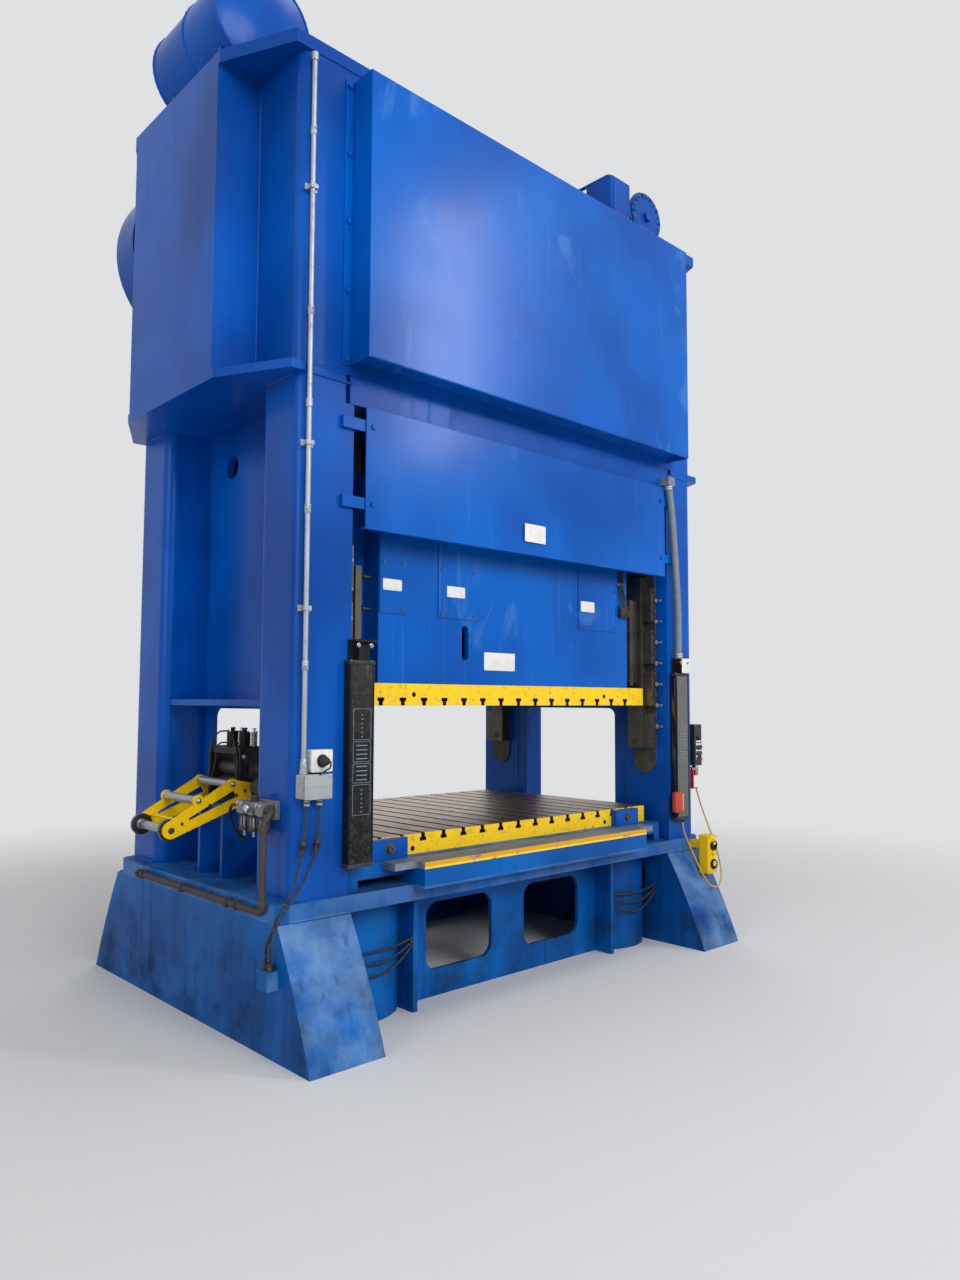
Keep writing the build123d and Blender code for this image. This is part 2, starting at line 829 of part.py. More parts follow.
# Right upright: two hollow legs, a web with its window, a shelf and the gib pads
with BuildPart() as right_upright:
    leg_middle_x = (upright_inner + upright_outer) / 2
    leg_middle_y = (leg_back + upright_front) / 2
    leg_width = upright_outer - upright_inner
    with BuildSketch(Plane.XY.offset(bed_flange_top)):
        with Locations((leg_middle_x, leg_middle_y), (leg_middle_x, -leg_middle_y)):
            Rectangle(leg_width, leg_depth)
        outer_corners = vertices().group_by(Axis.X)[-1]
        fillet(outer_corners, leg_corner)
        with Locations((leg_middle_x, leg_middle_y), (leg_middle_x, -leg_middle_y)):
            Rectangle(leg_width - 2 * leg_wall, leg_depth - 2 * leg_wall, mode=Mode.SUBTRACT)
    extrude(amount=upright_top - bed_flange_top)
    web_x = upright_inner + 5
    with BuildSketch(Plane.YZ.offset(web_x)):
        with Locations((0, (bed_flange_top + upright_top) / 2)):
            Rectangle(2 * leg_back + 10, upright_top - bed_flange_top)
        with Locations((0, (window_bottom + window_top) / 2)):
            RectangleRounded(2 * window_half_width, window_top - window_bottom, window_corner,
                             mode=Mode.SUBTRACT)
        with Locations((web_hole_y, web_hole_z)):
            Circle(web_hole_diameter / 2, mode=Mode.SUBTRACT)
    extrude(amount=web_thickness)
    with BuildSketch(Plane.YZ.offset(web_x + web_thickness)):
        with Locations((0, (shelf_top + doubler_top) / 2)):
            RectangleRounded(2 * doubler_half_width, doubler_top - shelf_top, window_corner)
        with Locations((web_hole_y, web_hole_z)):
            Circle(web_hole_diameter / 2, mode=Mode.SUBTRACT)
    extrude(amount=doubler_thickness)
    box_between((web_x + web_thickness - 5, -leg_back - 5, shelf_top - shelf_thickness),
                (shelf_reach, leg_back + 5, shelf_top))
    with BuildSketch(Plane.YZ.offset(upright_inner)):
        for side in (-1, 1):
            with Locations((side * gib_pad_middle, (gib_pad_bottom + gib_pad_top) / 2)):
                SlotOverall(gib_pad_top - gib_pad_bottom, gib_pad_width, rotation=90)
    extrude(amount=-gib_pad_thickness)
    for side in (-1, 1):
        notch = sorted((side * (upright_front + 1), side * (crown_front - crown_recess - 2)))
        box_between((upright_inner - gib_pad_thickness, notch[0], front_plate_bottom - 3),
                    (crown_recess_half_length, notch[1], upright_top + 1), Mode.SUBTRACT)
right_upright.part.label = "right_upright"
export_step(right_upright.part, "parts/right_upright.step")

with BuildPart() as left_upright:
    mirror(right_upright.part, about=Plane.YZ)
left_upright.part.label = "left_upright"
export_step(left_upright.part, "parts/left_upright.step")

# Crown: one hollow box with wings, a base plate, a top plate and bearing bosses
plate_corners = [(crown_corner_x, crown_front), (wing_half_length, wing_plate_half_depth)]
plate_outline = (plate_corners + [(x, -y) for x, y in reversed(plate_corners)]
                 + [(-x, -y) for x, y in plate_corners] + [(-x, y) for x, y in reversed(plate_corners)])
crown_base_top = upright_top + crown_base_thickness
crown_top_bottom = crown_top - crown_top_thickness
crown_inner_front = upright_front - crown_wall

with BuildPart() as crown:
    with BuildSketch(Plane.XY.offset(upright_top)):
        with BuildLine():
            Polyline(*plate_outline, close=True)
        make_face()
        for side in (-1, 1):
            with Locations((0, side * (crown_front - crown_recess / 2 + 1))):
                Rectangle(2 * crown_recess_half_length, crown_recess + 2, mode=Mode.SUBTRACT)
            # Openings for the connecting rods, wide towards the middle where the rods swing
            near = side * (crank_x + rod_shank_width / 2 + rod_swing_clearance)
            far = side * (crank_x - throw - rod_shank_width / 2 - rod_swing_clearance)
            with Locations(((near + far) / 2, 0)):
                Rectangle(abs(near - far), rod_shank_depth + 2 * rod_swing_clearance, mode=Mode.SUBTRACT)
            with Locations((side * balance_x, 0)):
                Circle(balance_rod_radius + 10, mode=Mode.SUBTRACT)
    extrude(amount=crown_base_thickness)
    with BuildSketch(Plane.XY.offset(crown_base_top)):
        RectangleRounded(2 * post_half_length, 2 * upright_front, post_corner)
        Rectangle(2 * wing_half_length, 2 * wing_half_depth)
        offset(amount=-crown_wall, kind=Kind.INTERSECTION, mode=Mode.SUBTRACT)
    extrude(amount=crown_top_bottom - crown_base_top)
    with BuildSketch(Plane.XY.offset(crown_top_bottom)):
        with BuildLine():
            Polyline(*plate_outline, close=True)
        make_face()
        for side in (-1, 1):
            with Locations((0, side * (crown_front - crown_recess / 2 + 1))):
                Rectangle(2 * crown_recess_half_length, top_recess, mode=Mode.SUBTRACT)
    extrude(amount=crown_top_thickness)
    for side in (-1, 1):
        face = side * crown_inner_front
        boss = sorted((face + side * 5, face - side * bearing_boss_length))
        for x, z in ((-crank_x, crank_height), (crank_x, crank_height)):
            rod_along_y(x, z, bearing_boss_radius, boss[0], boss[1])
        rod_along_y(drive_x, drive_z, bearing_boss_radius - 40, boss[0], boss[1])
        bore = sorted((side * (upright_front + 2), face - side * (bearing_boss_length + 2)))
        for x in (-crank_x, crank_x):
            rod_along_y(x, crank_height, crank_journal_radius + bush_wall, bore[0], bore[1], Mode.SUBTRACT)
        rod_along_y(drive_x, drive_z, drive_shaft_radius + bush_wall, bore[0], bore[1], Mode.SUBTRACT)
    for side in (-1, 1):
        # Plates in front of and behind the base, down over the tops of the uprights
        plate = sorted((side * upright_front, side * (crown_front - crown_recess)))
        box_between((-front_plate_half_length, plate[0], front_plate_bottom),
                    (front_plate_half_length, plate[1], front_plate_top))
    for x in (-tie_rod_x, tie_rod_x):
        for y in (-tie_rod_y, tie_rod_y):
            upright_bar(x, y, tie_rod_radius + tie_rod_clearance, upright_top - 5, crown_base_top + 5,
                        Mode.SUBTRACT)
            upright_bar(x, y, tie_rod_radius + tie_rod_clearance, crown_top_bottom - 5, crown_top + 5,
                        Mode.SUBTRACT)
crown.part.label = "crown"
export_step(crown.part, "parts/crown.step")

# Tie rods through the legs, with a nut at each end
with BuildPart() as tie_rods:
    for x in (-tie_rod_x, tie_rod_x):
        for y in (-tie_rod_y, tie_rod_y):
            upright_bar(x, y, tie_rod_radius, foot_roof - tie_nut_height - tie_rod_tail,
                        crown_top + tie_nut_height + tie_rod_tail)
tie_rods.part.label = "tie_rods"
export_step(tie_rods.part, "parts/tie_rods.step")

with BuildPart() as tie_rod_nuts:
    for low in (foot_roof - tie_nut_height, crown_top):
        with BuildSketch(Plane.XY.offset(low)):
            with GridLocations(2 * tie_rod_x, 2 * tie_rod_y, 2, 2):
                RegularPolygon(tie_nut_radius, 8)
                Circle(tie_rod_radius, mode=Mode.SUBTRACT)
        extrude(amount=tie_nut_height)
tie_rod_nuts.part.label = "tie_rod_nuts"
export_step(tie_rod_nuts.part, "parts/tie_rod_nuts.step")

# Front cover over the main gears: a folded sheet box with side flanges, open at the back
with BuildPart() as gear_cover:
    box_between((-gear_cover_half_length, -gear_cover_front, gear_cover_bottom),
                (gear_cover_half_length, -upright_front, gear_cover_top))
    front_posts = edges().filter_by(Axis.Z).group_by(Axis.Y)[0]
    outer_edges = front_posts + edges().filter_by(Axis.X).group_by(Axis.Y)[0]
    fillet(outer_edges, gear_cover_sheet)
    box_between((-gear_cover_half_length + gear_cover_sheet, -gear_cover_front + gear_cover_sheet,
                 gear_cover_bottom + 5 * gear_cover_sheet),
                (gear_cover_half_length - gear_cover_sheet, -upright_front + 1,
                 gear_cover_top - gear_cover_sheet), Mode.SUBTRACT)
    box_between((-gear_cover_half_length + gear_cover_sheet, -gear_cover_front + gear_cover_sheet,
                 gear_cover_bottom - 1),
                (gear_cover_half_length - gear_cover_sheet, -upright_front + 1,
                 gear_cover_bottom + 4 * gear_cover_sheet), Mode.SUBTRACT)
    for end in (-1, 1):
        flange = sorted((end * (gear_cover_half_length - 4),
                         end * (gear_cover_half_length + gear_cover_flange)))
        box_between((flange[0], -upright_front - gear_cover_sheet, gear_cover_bottom),
                    (flange[1], -upright_front, gear_cover_top))
    with BuildSketch(at_y(-upright_front - gear_cover_sheet)):
        with Locations((0, (gear_cover_bottom + gear_cover_top) / 2)):
            with GridLocations(2 * gear_cover_half_length + gear_cover_flange, gear_cover_bolt_pitch, 2, 5):
                RegularPolygon(cover_bolt_radius, 6)
    extrude(amount=cover_bolt_head)
gear_cover.part.label = "gear_cover"
export_step(gear_cover.part, "parts/gear_cover.step")

# Slide guard: a sheet with a turned-in lower lip, held off the uprights by bars
with BuildPart() as slide_guard:
    guard_back = -upright_front - guard_standoff
    with BuildSketch(Plane.YZ.offset(-guard_half_length)):
        with BuildLine():
            Polyline((guard_back - guard_sheet, guard_top), (guard_back - guard_sheet, guard_bottom),
                     (guard_back - guard_sheet + guard_lip, guard_bottom),
                     (guard_back - guard_sheet + guard_lip, guard_bottom + guard_sheet),
                     (guard_back, guard_bottom + guard_sheet), (guard_back, guard_top), close=True)
        make_face()
    extrude(amount=2 * guard_half_length)
    for end in (-1, 1):
        for z in (guard_bottom + guard_low_bar, guard_top - guard_high_bar):
            bar = sorted((end * (guard_half_length - guard_bar_inset),
                          end * (upright_inner + guard_bar_lap)))
            box_between((bar[0], guard_back, z - guard_bar_height / 2),
                        (bar[1], -upright_front, z + guard_bar_height / 2))
    with BuildSketch(at_y(-upright_front - guard_standoff - guard_sheet)):
        for z in (guard_bottom + guard_low_bar, guard_top - guard_high_bar):
            with Locations((guard_bolt_inset - guard_half_length, z),
                           (guard_half_length - guard_bolt_inset, z)):
                RegularPolygon(guard_bolt_radius, 6)
    extrude(amount=guard_bolt_head)
slide_guard.part.label = "slide_guard"
export_step(slide_guard.part, "parts/slide_guard.step")

# Main gears, in mesh with each other at the middle of the press
def main_gear(x):
    """A spoked spur gear on the crank nose at this X, with one tooth pointing right."""
    with BuildPart() as gear:
        with BuildSketch(at_y(-gear_back)):
            with BuildLine():
                Polyline(*[(x + px, crank_height + pz)
                           for px, pz in involute_outline(gear_teeth, gear_module, 0)], close=True)
            make_face()
            with Locations((x, crank_height)):
                Circle(crank_nose_radius, mode=Mode.SUBTRACT)
                with PolarLocations((main_radius - gear_rim + gear_hub_radius) / 2, gear_hole_count):
                    Circle(gear_hole_radius, mode=Mode.SUBTRACT)
        extrude(amount=gear_width)
        pocket_depth = (gear_width - gear_web) / 2
        for back in (-gear_back, -gear_front + pocket_depth):
            with BuildSketch(at_y(back)):
                with Locations((x, crank_height)):
                    Circle(main_radius - 1.25 * gear_module - gear_rim)
                    Circle(gear_hub_radius, mode=Mode.SUBTRACT)
            extrude(amount=pocket_depth, mode=Mode.SUBTRACT)
    return gear.part


left_main_gear = main_gear(-crank_x)
left_main_gear.label = "left_main_gear"
export_step(left_main_gear, "parts/left_main_gear.step")
right_main_gear = main_gear(crank_x)
right_main_gear.label = "right_main_gear"
export_step(right_main_gear, "parts/right_main_gear.step")

# The pinion has a gap where the left gear has its nearest tooth
tooth_angle = 360 / gear_teeth
nearest_tooth = round(drive_angle / tooth_angle) * tooth_angle
tooth_lead = (nearest_tooth - drive_angle) * gear_teeth / pinion_teeth
pinion_phase = drive_angle + 180 - tooth_lead + 180 / pinion_teeth


# Crankshafts, front to back, each with one throw in the middle
def crankshaft(x):
    """Nose for the gear, two journals, two cheeks and the crank pin, at the top of its stroke."""
    half_pin = rod_width / 2 + rod_side_play
    with BuildPart() as shaft:
        rod_along_y(x, crank_height, crank_nose_radius, -gear_front - 8, -gear_back + 30)
        rod_along_y(x, crank_height, crank_journal_radius, -gear_back + 30, -half_pin)
        rod_along_y(x, crank_height, crank_journal_radius, half_pin, upright_front + 12)
        rod_along_y(x, pin_height, crank_pin_radius, -half_pin - 5, half_pin + 5)
        for back in (-half_pin, half_pin + crank_cheek_thickness):
            with BuildSketch(at_y(back)):
                with Locations((x, crank_height), (x, pin_height)):
                    Circle(crank_cheek_radius)
                make_hull()
            extrude(amount=crank_cheek_thickness)
    return shaft.part


left_crankshaft = crankshaft(-crank_x)
left_crankshaft.label = "left_crankshaft"
export_step(left_crankshaft, "parts/left_crankshaft.step")
right_crankshaft = crankshaft(crank_x)
right_crankshaft.label = "right_crankshaft"
export_step(right_crankshaft, "parts/right_crankshaft.step")

with BuildPart() as shaft_bushes:
    for side in (-1, 1):
        bush = sorted((side * upright_front, side * (crown_inner_front - bearing_boss_length)))
        for x in (-crank_x, crank_x):
            rod_along_y(x, crank_height, crank_journal_radius + bush_wall, bush[0], bush[1])
            rod_along_y(x, crank_height, crank_journal_radius + running_clearance, bush[0] - 1, bush[1] + 1,
                        Mode.SUBTRACT)
        rod_along_y(drive_x, drive_z, drive_shaft_radius + bush_wall, bush[0], bush[1])
        rod_along_y(drive_x, drive_z, drive_shaft_radius + running_clearance, bush[0] - 1, bush[1] + 1,
                    Mode.SUBTRACT)
shaft_bushes.part.label = "shaft_bushes"
export_step(shaft_bushes.part, "parts/shaft_bushes.step")


# Connecting rods: a split eye on the crank pin, a tapered shank and a ball at the foot
def connecting_rod(x):
    """The rod hangs straight down from the crank pin at this X."""
    with BuildPart() as rod:
        with BuildSketch(at_y(rod_width / 2)):
            with Locations((x, pin_height)):
                Circle(rod_eye_radius)
                Rectangle(2 * rod_eye_radius + 50, 90)
                Circle(crank_pin_radius + running_clearance, mode=Mode.SUBTRACT)
        extrude(amount=rod_width)
        cap_edges = edges().filter_by(Axis.Y).group_by(Axis.X)
        fillet(cap_edges[0] + cap_edges[-1], 12)
        with BuildSketch(Plane.XY.offset(pin_height - crank_pin_radius - 30)):
            with Locations((x, 0)):
                Rectangle(rod_shank_width + 90, rod_shank_depth + 30)
        with BuildSketch(Plane.XY.offset(ball_z)):
            with Locations((x, 0)):
                Rectangle(rod_shank_width - 50, rod_shank_depth - 20)
        loft()
        with Locations((x, 0, ball_z)):
            Sphere(rod_ball_radius)
        rod_along_y(x, pin_height, crank_pin_radius + running_clearance, -rod_width, rod_width,
                    Mode.SUBTRACT)
    return rod.part


left_connecting_rod = connecting_rod(-crank_x)
left_connecting_rod.label = "left_connecting_rod"
export_step(left_connecting_rod, "parts/left_connecting_rod.step")
right_connecting_rod = connecting_rod(crank_x)
right_connecting_rod.label = "right_connecting_rod"
export_step(right_connecting_rod, "parts/right_connecting_rod.step")

# Drive shaft with its pinion in front and the clutch drum at its back end
with BuildPart() as drive_shaft:
    with BuildSketch(at_y(-gear_back)):
        with BuildLine():
            Polyline(*[(drive_x + px, drive_z + pz)
                       for px, pz in involute_outline(pinion_teeth, gear_module, pinion_phase)], close=True)
        make_face()
    extrude(amount=gear_width)
    clutch_back = flywheel_back + clutch_gap + clutch_width
    rod_along_y(drive_x, drive_z, drive_shaft_radius, -gear_front - 8, clutch_back + 10)
drive_shaft.part.label = "drive_shaft"
export_step(drive_shaft.part, "parts/drive_shaft.step")

with BuildPart() as clutch:
    rod_along_y(drive_x, drive_z, clutch_radius, flywheel_back + clutch_gap, clutch_back)
    fillet(edges().filter_by(GeomType.CIRCLE).group_by(Axis.Y)[-1], 15)
    rod_along_y(drive_x, drive_z, drive_shaft_radius, flywheel_back, clutch_back + 1, Mode.SUBTRACT)
    with BuildSketch(at_y(clutch_back + 8)):
        with Locations((drive_x, drive_z)):
            with PolarLocations(clutch_radius - 50, 8):
                RegularPolygon(14, 6)
    extrude(amount=20)
clutch.part.label = "clutch"
export_step(clutch.part, "parts/clutch.step")

with BuildPart() as flywheel:
    rod_along_y(drive_x, drive_z, flywheel_radius, flywheel_front, flywheel_back)
    web_depth = (flywheel_width - flywheel_web) / 2
    for back in (flywheel_front + web_depth, flywheel_back):
        with BuildSketch(at_y(back)):
            with Locations((drive_x, drive_z)):
                Circle(flywheel_radius - flywheel_rim)
                Circle(flywheel_hub_radius, mode=Mode.SUBTRACT)
        extrude(amount=web_depth, mode=Mode.SUBTRACT)
    with BuildSketch(at_y(flywheel_back)):
        with Locations((drive_x, drive_z)):
            Circle(drive_shaft_radius + running_clearance)
            with PolarLocations((flywheel_radius - flywheel_rim + flywheel_hub_radius) / 2, flywheel_spokes):
                Circle(flywheel_hole_radius)
    extrude(amount=flywheel_width, mode=Mode.SUBTRACT)
flywheel.part.label = "flywheel"
export_step(flywheel.part, "parts/flywheel.step")

# Main motor on the crown, its pulley, the belts and the guard round them
with BuildPart() as main_motor:
    motor_back = motor_front + motor_length
    rod_along_y(motor_x, motor_z, motor_radius, motor_front, motor_back)
    fillet(edges().filter_by(GeomType.CIRCLE), motor_corner)
    with BuildSketch(at_y(motor_back - motor_foot_end)):
        with Locations((motor_x, motor_z)):
            with PolarLocations(motor_radius, motor_fin_count, start_angle=180 / motor_fin_count):
                Rectangle(2 * motor_fin_height, motor_fin_thickness)
    extrude(amount=motor_length - 2 * motor_foot_end)
    for side in (-1, 1):
        foot = sorted((motor_x + side * motor_foot_reach, motor_x + side * (motor_radius + motor_foot_lap)))
        box_between((foot[0], motor_front + motor_foot_end, crown_top + motor_foot_height),
                    (foot[1], motor_back - motor_foot_end, motor_z - motor_radius + motor_foot_rise))
    base_half = motor_radius + motor_base_lap
    box_between((motor_x - base_half, motor_front + motor_base_end, crown_top),
                (motor_x + base_half, motor_back - motor_base_end, crown_top + motor_foot_height))
    terminal_x = motor_x + motor_radius
    box_between((terminal_x - terminal_sink, motor_front + terminal_front, motor_z - terminal_low),
                (terminal_x + terminal_reach, motor_front + terminal_front + terminal_length,
                 motor_z + terminal_high))
    rod_along_y(motor_x, motor_z, motor_shaft_radius + running_clearance, motor_back - 60, motor_back + 1,
                Mode.SUBTRACT)
main_motor.part.label = "main_motor"
export_step(main_motor.part, "parts/main_motor.step")

with BuildPart() as motor_pulley:
    belt_span = (belt_count - 1) * belt_pitch + belt_width + 16
    rod_along_y(motor_x, motor_z, motor_shaft_radius, motor_back - 50, belt_middle + belt_span / 2)
    rod_along_y(motor_x, motor_z, pulley_radius, belt_middle - belt_span / 2, belt_middle + belt_span / 2)
motor_pulley.part.label = "motor_pulley"
export_step(motor_pulley.part, "parts/motor_pulley.step")

with BuildPart() as drive_belts:
    for i in range(belt_count):
        back = belt_middle + (i - (belt_count - 1) / 2) * belt_pitch + belt_width / 2
        with BuildSketch(at_y(back)):
            with Locations((drive_x, drive_z)):
                Circle(flywheel_radius + belt_gap + belt_thickness)
            with Locations((motor_x, motor_z)):
                Circle(pulley_radius + belt_gap + belt_thickness)
            make_hull()
            offset(amount=-belt_thickness, mode=Mode.SUBTRACT)
        extrude(amount=belt_width)
drive_belts.part.label = "drive_belts"
export_step(drive_belts.part, "parts/drive_belts.step")

with BuildPart() as flywheel_guard:
    with BuildSketch(at_y(drive_guard_back)):
        with Locations((drive_x, drive_z)):
            Circle(flywheel_radius + drive_guard_margin)
        with Locations((motor_x, motor_z)):
            Circle(pulley_radius + drive_guard_margin)
        make_hull()
    extrude(amount=drive_guard_back - drive_guard_front)
    fillet(edges().group_by(Axis.Y)[-1], 2 * drive_guard_sheet)
    with BuildSketch(at_y(drive_guard_back - drive_guard_sheet)):
        with Locations((drive_x, drive_z)):
            Circle(flywheel_radius + drive_guard_margin - drive_guard_sheet)
        with Locations((motor_x, motor_z)):
            Circle(pulley_radius + drive_guard_margin - drive_guard_sheet)
        make_hull()
    extrude(amount=drive_guard_back - drive_guard_front, mode=Mode.SUBTRACT)
    # Feet that carry the guard on the crown's back wall
    foot_circle = flywheel_radius + drive_guard_margin + drive_guard_foot_gap
    for angle in drive_guard_foot_angles:
        foot_x = drive_x + foot_circle * cos(radians(angle))
        foot_z = drive_z + foot_circle * sin(radians(angle))
        box_between((foot_x - drive_guard_foot / 2, upright_front, foot_z - drive_guard_foot / 2),
                    (foot_x + drive_guard_foot / 2, drive_guard_front + drive_guard_foot_lap,
                     foot_z + drive_guard_foot / 2))
flywheel_guard.part.label = "flywheel_guard"
export_step(flywheel_guard.part, "parts/flywheel_guard.step")


def tube(points, radius, bend):
    """A round pipe through these points, with its corners bent."""
    with BuildPart() as pipe:
        with BuildLine() as path:
            FilletPolyline(*points, radius=bend)
        with BuildSketch(Plane(origin=points[0], z_dir=Vector(*points[1]) - Vector(*points[0]))):
            Circle(radius)
        sweep(path=path.line)
    return pipe.part


def cord(points, diameter):
    """A cord's tube: straight runs joined by arcs that are as large as the two runs beside them allow."""
    spots = [Vector(*point) for point in points]
    radii = []
    for before, here, after in zip(spots, spots[1:], spots[2:]):
        turn = radians((here - before).get_angle(after - here))
        shorter = min((here - before).length, (after - here).length)
        radii.append(0.45 * shorter / tan(turn / 2))
    with BuildPart() as strand:
        with BuildLine() as route:
            FilletPolyline(*points, radius=radii)
        with BuildSketch(Plane(origin=points[0], z_dir=spots[1] - spots[0])):
            Circle(diameter / 2)
        sweep(path=route.line)
    length = sum(edge.length for edge in route.edges())
    print("cord", round(length), "mm, smallest arc", round(min(radii)), "mm, volume ratio",
          round(strand.part.volume / (length * pi * diameter ** 2 / 4), 4))
    return strand.part


# Slide: a hollow welded box with nut blocks for the adjusting screws
slide_outline = [(table_half, slide_notch_y), (slide_notch_x, slide_notch_y), (slide_notch_x, table_front)]
slide_corners = (slide_outline + [(-x, y) for x, y in reversed(slide_outline)]
                 + [(-x, -y) for x, y in slide_outline] + [(x, -y) for x, y in reversed(slide_outline)])

with BuildPart() as slide_body:
    with BuildSketch(Plane.XY.offset(slide_base)):
        with BuildLine():
            Polyline(*slide_corners, close=True)
        make_face()
    extrude(amount=slide_top - slide_base)
    with BuildSketch(Plane.XY.offset(slide_base + slide_wall)):
        with BuildLine():
            Polyline(*slide_corners, close=True)
        make_face()
        offset(amount=-slide_wall, kind=Kind.INTERSECTION, mode=Mode.REPLACE)
        with GridLocations(2 * slide_rib_x, 0, 2, 1):
            Rectangle(slide_wall, table_depth, mode=Mode.SUBTRACT)
    extrude(amount=slide_top - slide_base - slide_wall - slide_top_thickness, mode=Mode.SUBTRACT)
    for x in (-crank_x, crank_x):
        upright_bar(x, 0, screw_nut_radius, slide_base, screw_nut_top)
    with BuildSketch(Plane.XY.offset(slide_top)):
        for side in (-1, 1):
            near = side * (crank_x + rod_shank_width / 2 + rod_swing_clearance)
            far = side * (crank_x - throw - rod_shank_width / 2 - rod_swing_clearance)
            with Locations(((near + far) / 2, 0)):
                Rectangle(abs(near - far), rod_shank_depth + 2 * rod_swing_clearance)
    extrude(amount=-slide_top_thickness, mode=Mode.SUBTRACT)
    for x in (-crank_x, crank_x):
        upright_bar(x, 0, screw_radius + running_clearance, slide_base + slide_wall, screw_nut_top + 1,
                    Mode.SUBTRACT)
    with BuildSketch(at_y(-table_front + slide_wall + 1)):
        with Locations((pin_slot_x, pin_slot_z)):
            SlotOverall(pin_slot_length, pin_slot_width, rotation=90)
    extrude(amount=slide_wall + 2, mode=Mode.SUBTRACT)
slide_body.part.label = "slide_body"
export_step(slide_body.part, "parts/slide_body.step")

with BuildPart() as slide_covers:
    for left, right in cover_spans:
        box_between((left, -table_front - cover_thickness, cover_bottom), (right, -table_front, cover_top))
slide_covers.part.label = "slide_covers"
export_step(slide_covers.part, "parts/slide_covers.step")

with BuildPart() as slide_bars:
    bar_face = gib_rail_back - gib_play
    for end in (-1, 1):
        for side in (-1, 1):
            bar_x = sorted((end * table_half, end * gib_bar_reach))
            bar_y = sorted((side * (bar_face - gib_bar_depth), side * bar_face))
            box_between((bar_x[0], bar_y[0], gib_bar_bottom), (bar_x[1], bar_y[1], gib_bar_top))
            shoe_x = sorted((end * gib_shoe_inner, end * (gib_rail_inner - gib_play)))
            shoe_y = sorted((side * slide_notch_y, side * (slide_notch_y + gib_shoe_depth)))
            box_between((shoe_x[0], shoe_y[0], gib_bar_bottom), (shoe_x[1], shoe_y[1], gib_bar_top))
            strip_start = gib_shoe_inner + gib_strip_gap
            strip_edge = sorted((end * strip_start, end * (strip_start + gib_strip_width)))
            shoe_face = slide_notch_y + gib_shoe_depth
            face = sorted((side * shoe_face, side * (shoe_face + gib_strip_thickness)))
            box_between((strip_edge[0], face[0], gib_bar_bottom - gib_strip_drop),
                        (strip_edge[1], face[1], gib_bar_top))
slide_bars.part.label = "slide_bars"
export_step(slide_bars.part, "parts/slide_bars.step")

with BuildPart() as adjusting_screws:
    for x in (-crank_x, crank_x):
        upright_bar(x, 0, screw_radius, screw_bottom, screw_top)
        upright_bar(x, 0, screw_wheel_radius, screw_nut_top + 2 * adjustment,
                    screw_nut_top + 3.5 * adjustment)
        with BuildSketch(Plane.XY.offset(screw_top - screw_hexagon_drop)):
            with Locations((x, 0)):
                RegularPolygon(screw_radius + screw_hexagon_lap, 6)
        extrude(amount=screw_hexagon_height)
adjusting_screws.part.label = "adjusting_screws"
export_step(adjusting_screws.part, "parts/adjusting_screws.step")

# Gibs on the uprights: four rails, the brackets in front of them and their bolts
with BuildPart() as gib_rails:
    for end in (-1, 1):
        for side in (-1, 1):
            rail_x = sorted((end * gib_rail_inner, end * gib_pad_face))
            rail_y = sorted((side * gib_rail_back, side * gib_rail_front))
            box_between((rail_x[0], rail_y[0], gib_rail_bottom), (rail_x[1], rail_y[1], gib_rail_top))
    for end in (-1, 1):
        with BuildSketch(Plane.YZ.offset(end * gib_rail_inner)):
            with Locations((0, gib_bolt_bottom + gib_bolt_pitch * (gib_bolt_count - 1) / 2)):
                with GridLocations(gib_rail_back + gib_rail_front, gib_bolt_pitch, 2, gib_bolt_count):
                    Circle(gib_bolt_radius + gib_bolt_gap)
        extrude(amount=end * gib_bolt_sink, mode=Mode.SUBTRACT)
    for end in (-1, 1):
        for side in (-1, 1):
            bracket_x = sorted((end * gib_bracket_inner, end * gib_pad_face))
            bracket_y = sorted((side * gib_rail_front, side * gib_bracket_front))
            for i in range(adjust_bolt_count // 2):
                low = adjust_bolt_bottom + 2 * i * adjust_bolt_pitch - adjust_bolt_pitch / 2
                box_between((bracket_x[0], bracket_y[0], low),
                            (bracket_x[1], bracket_y[1], low + bracket_share * adjust_bolt_pitch))
    for side in (-1, 1):
        bolt_face = gib_bracket_front if side < 0 else gib_bracket_front + adjust_bolt_head
        with BuildSketch(at_y(side * bolt_face)):
            with Locations((0, adjust_bolt_bottom + adjust_bolt_pitch * (adjust_bolt_count - 1) / 2)):
                with GridLocations(gib_bracket_inner + gib_pad_face, adjust_bolt_pitch, 2,
                                   adjust_bolt_count):
                    RegularPolygon(adjust_bolt_radius, 6)
        extrude(amount=adjust_bolt_head)
    for end in (-1, 1):
        with BuildSketch(Plane.YZ.offset(end * (gib_rail_inner + gib_bolt_sink))):
            with Locations((0, gib_bolt_bottom + gib_bolt_pitch * (gib_bolt_count - 1) / 2)):
                with GridLocations(gib_rail_back + gib_rail_front, gib_bolt_pitch, 2, gib_bolt_count):
                    Circle(gib_bolt_radius)
                    RegularPolygon(gib_bolt_radius / 2, 6, mode=Mode.SUBTRACT)
        extrude(amount=-end * (gib_bolt_sink - 2))
gib_rails.part.label = "gib_rails"
export_step(gib_rails.part, "parts/gib_rails.step")

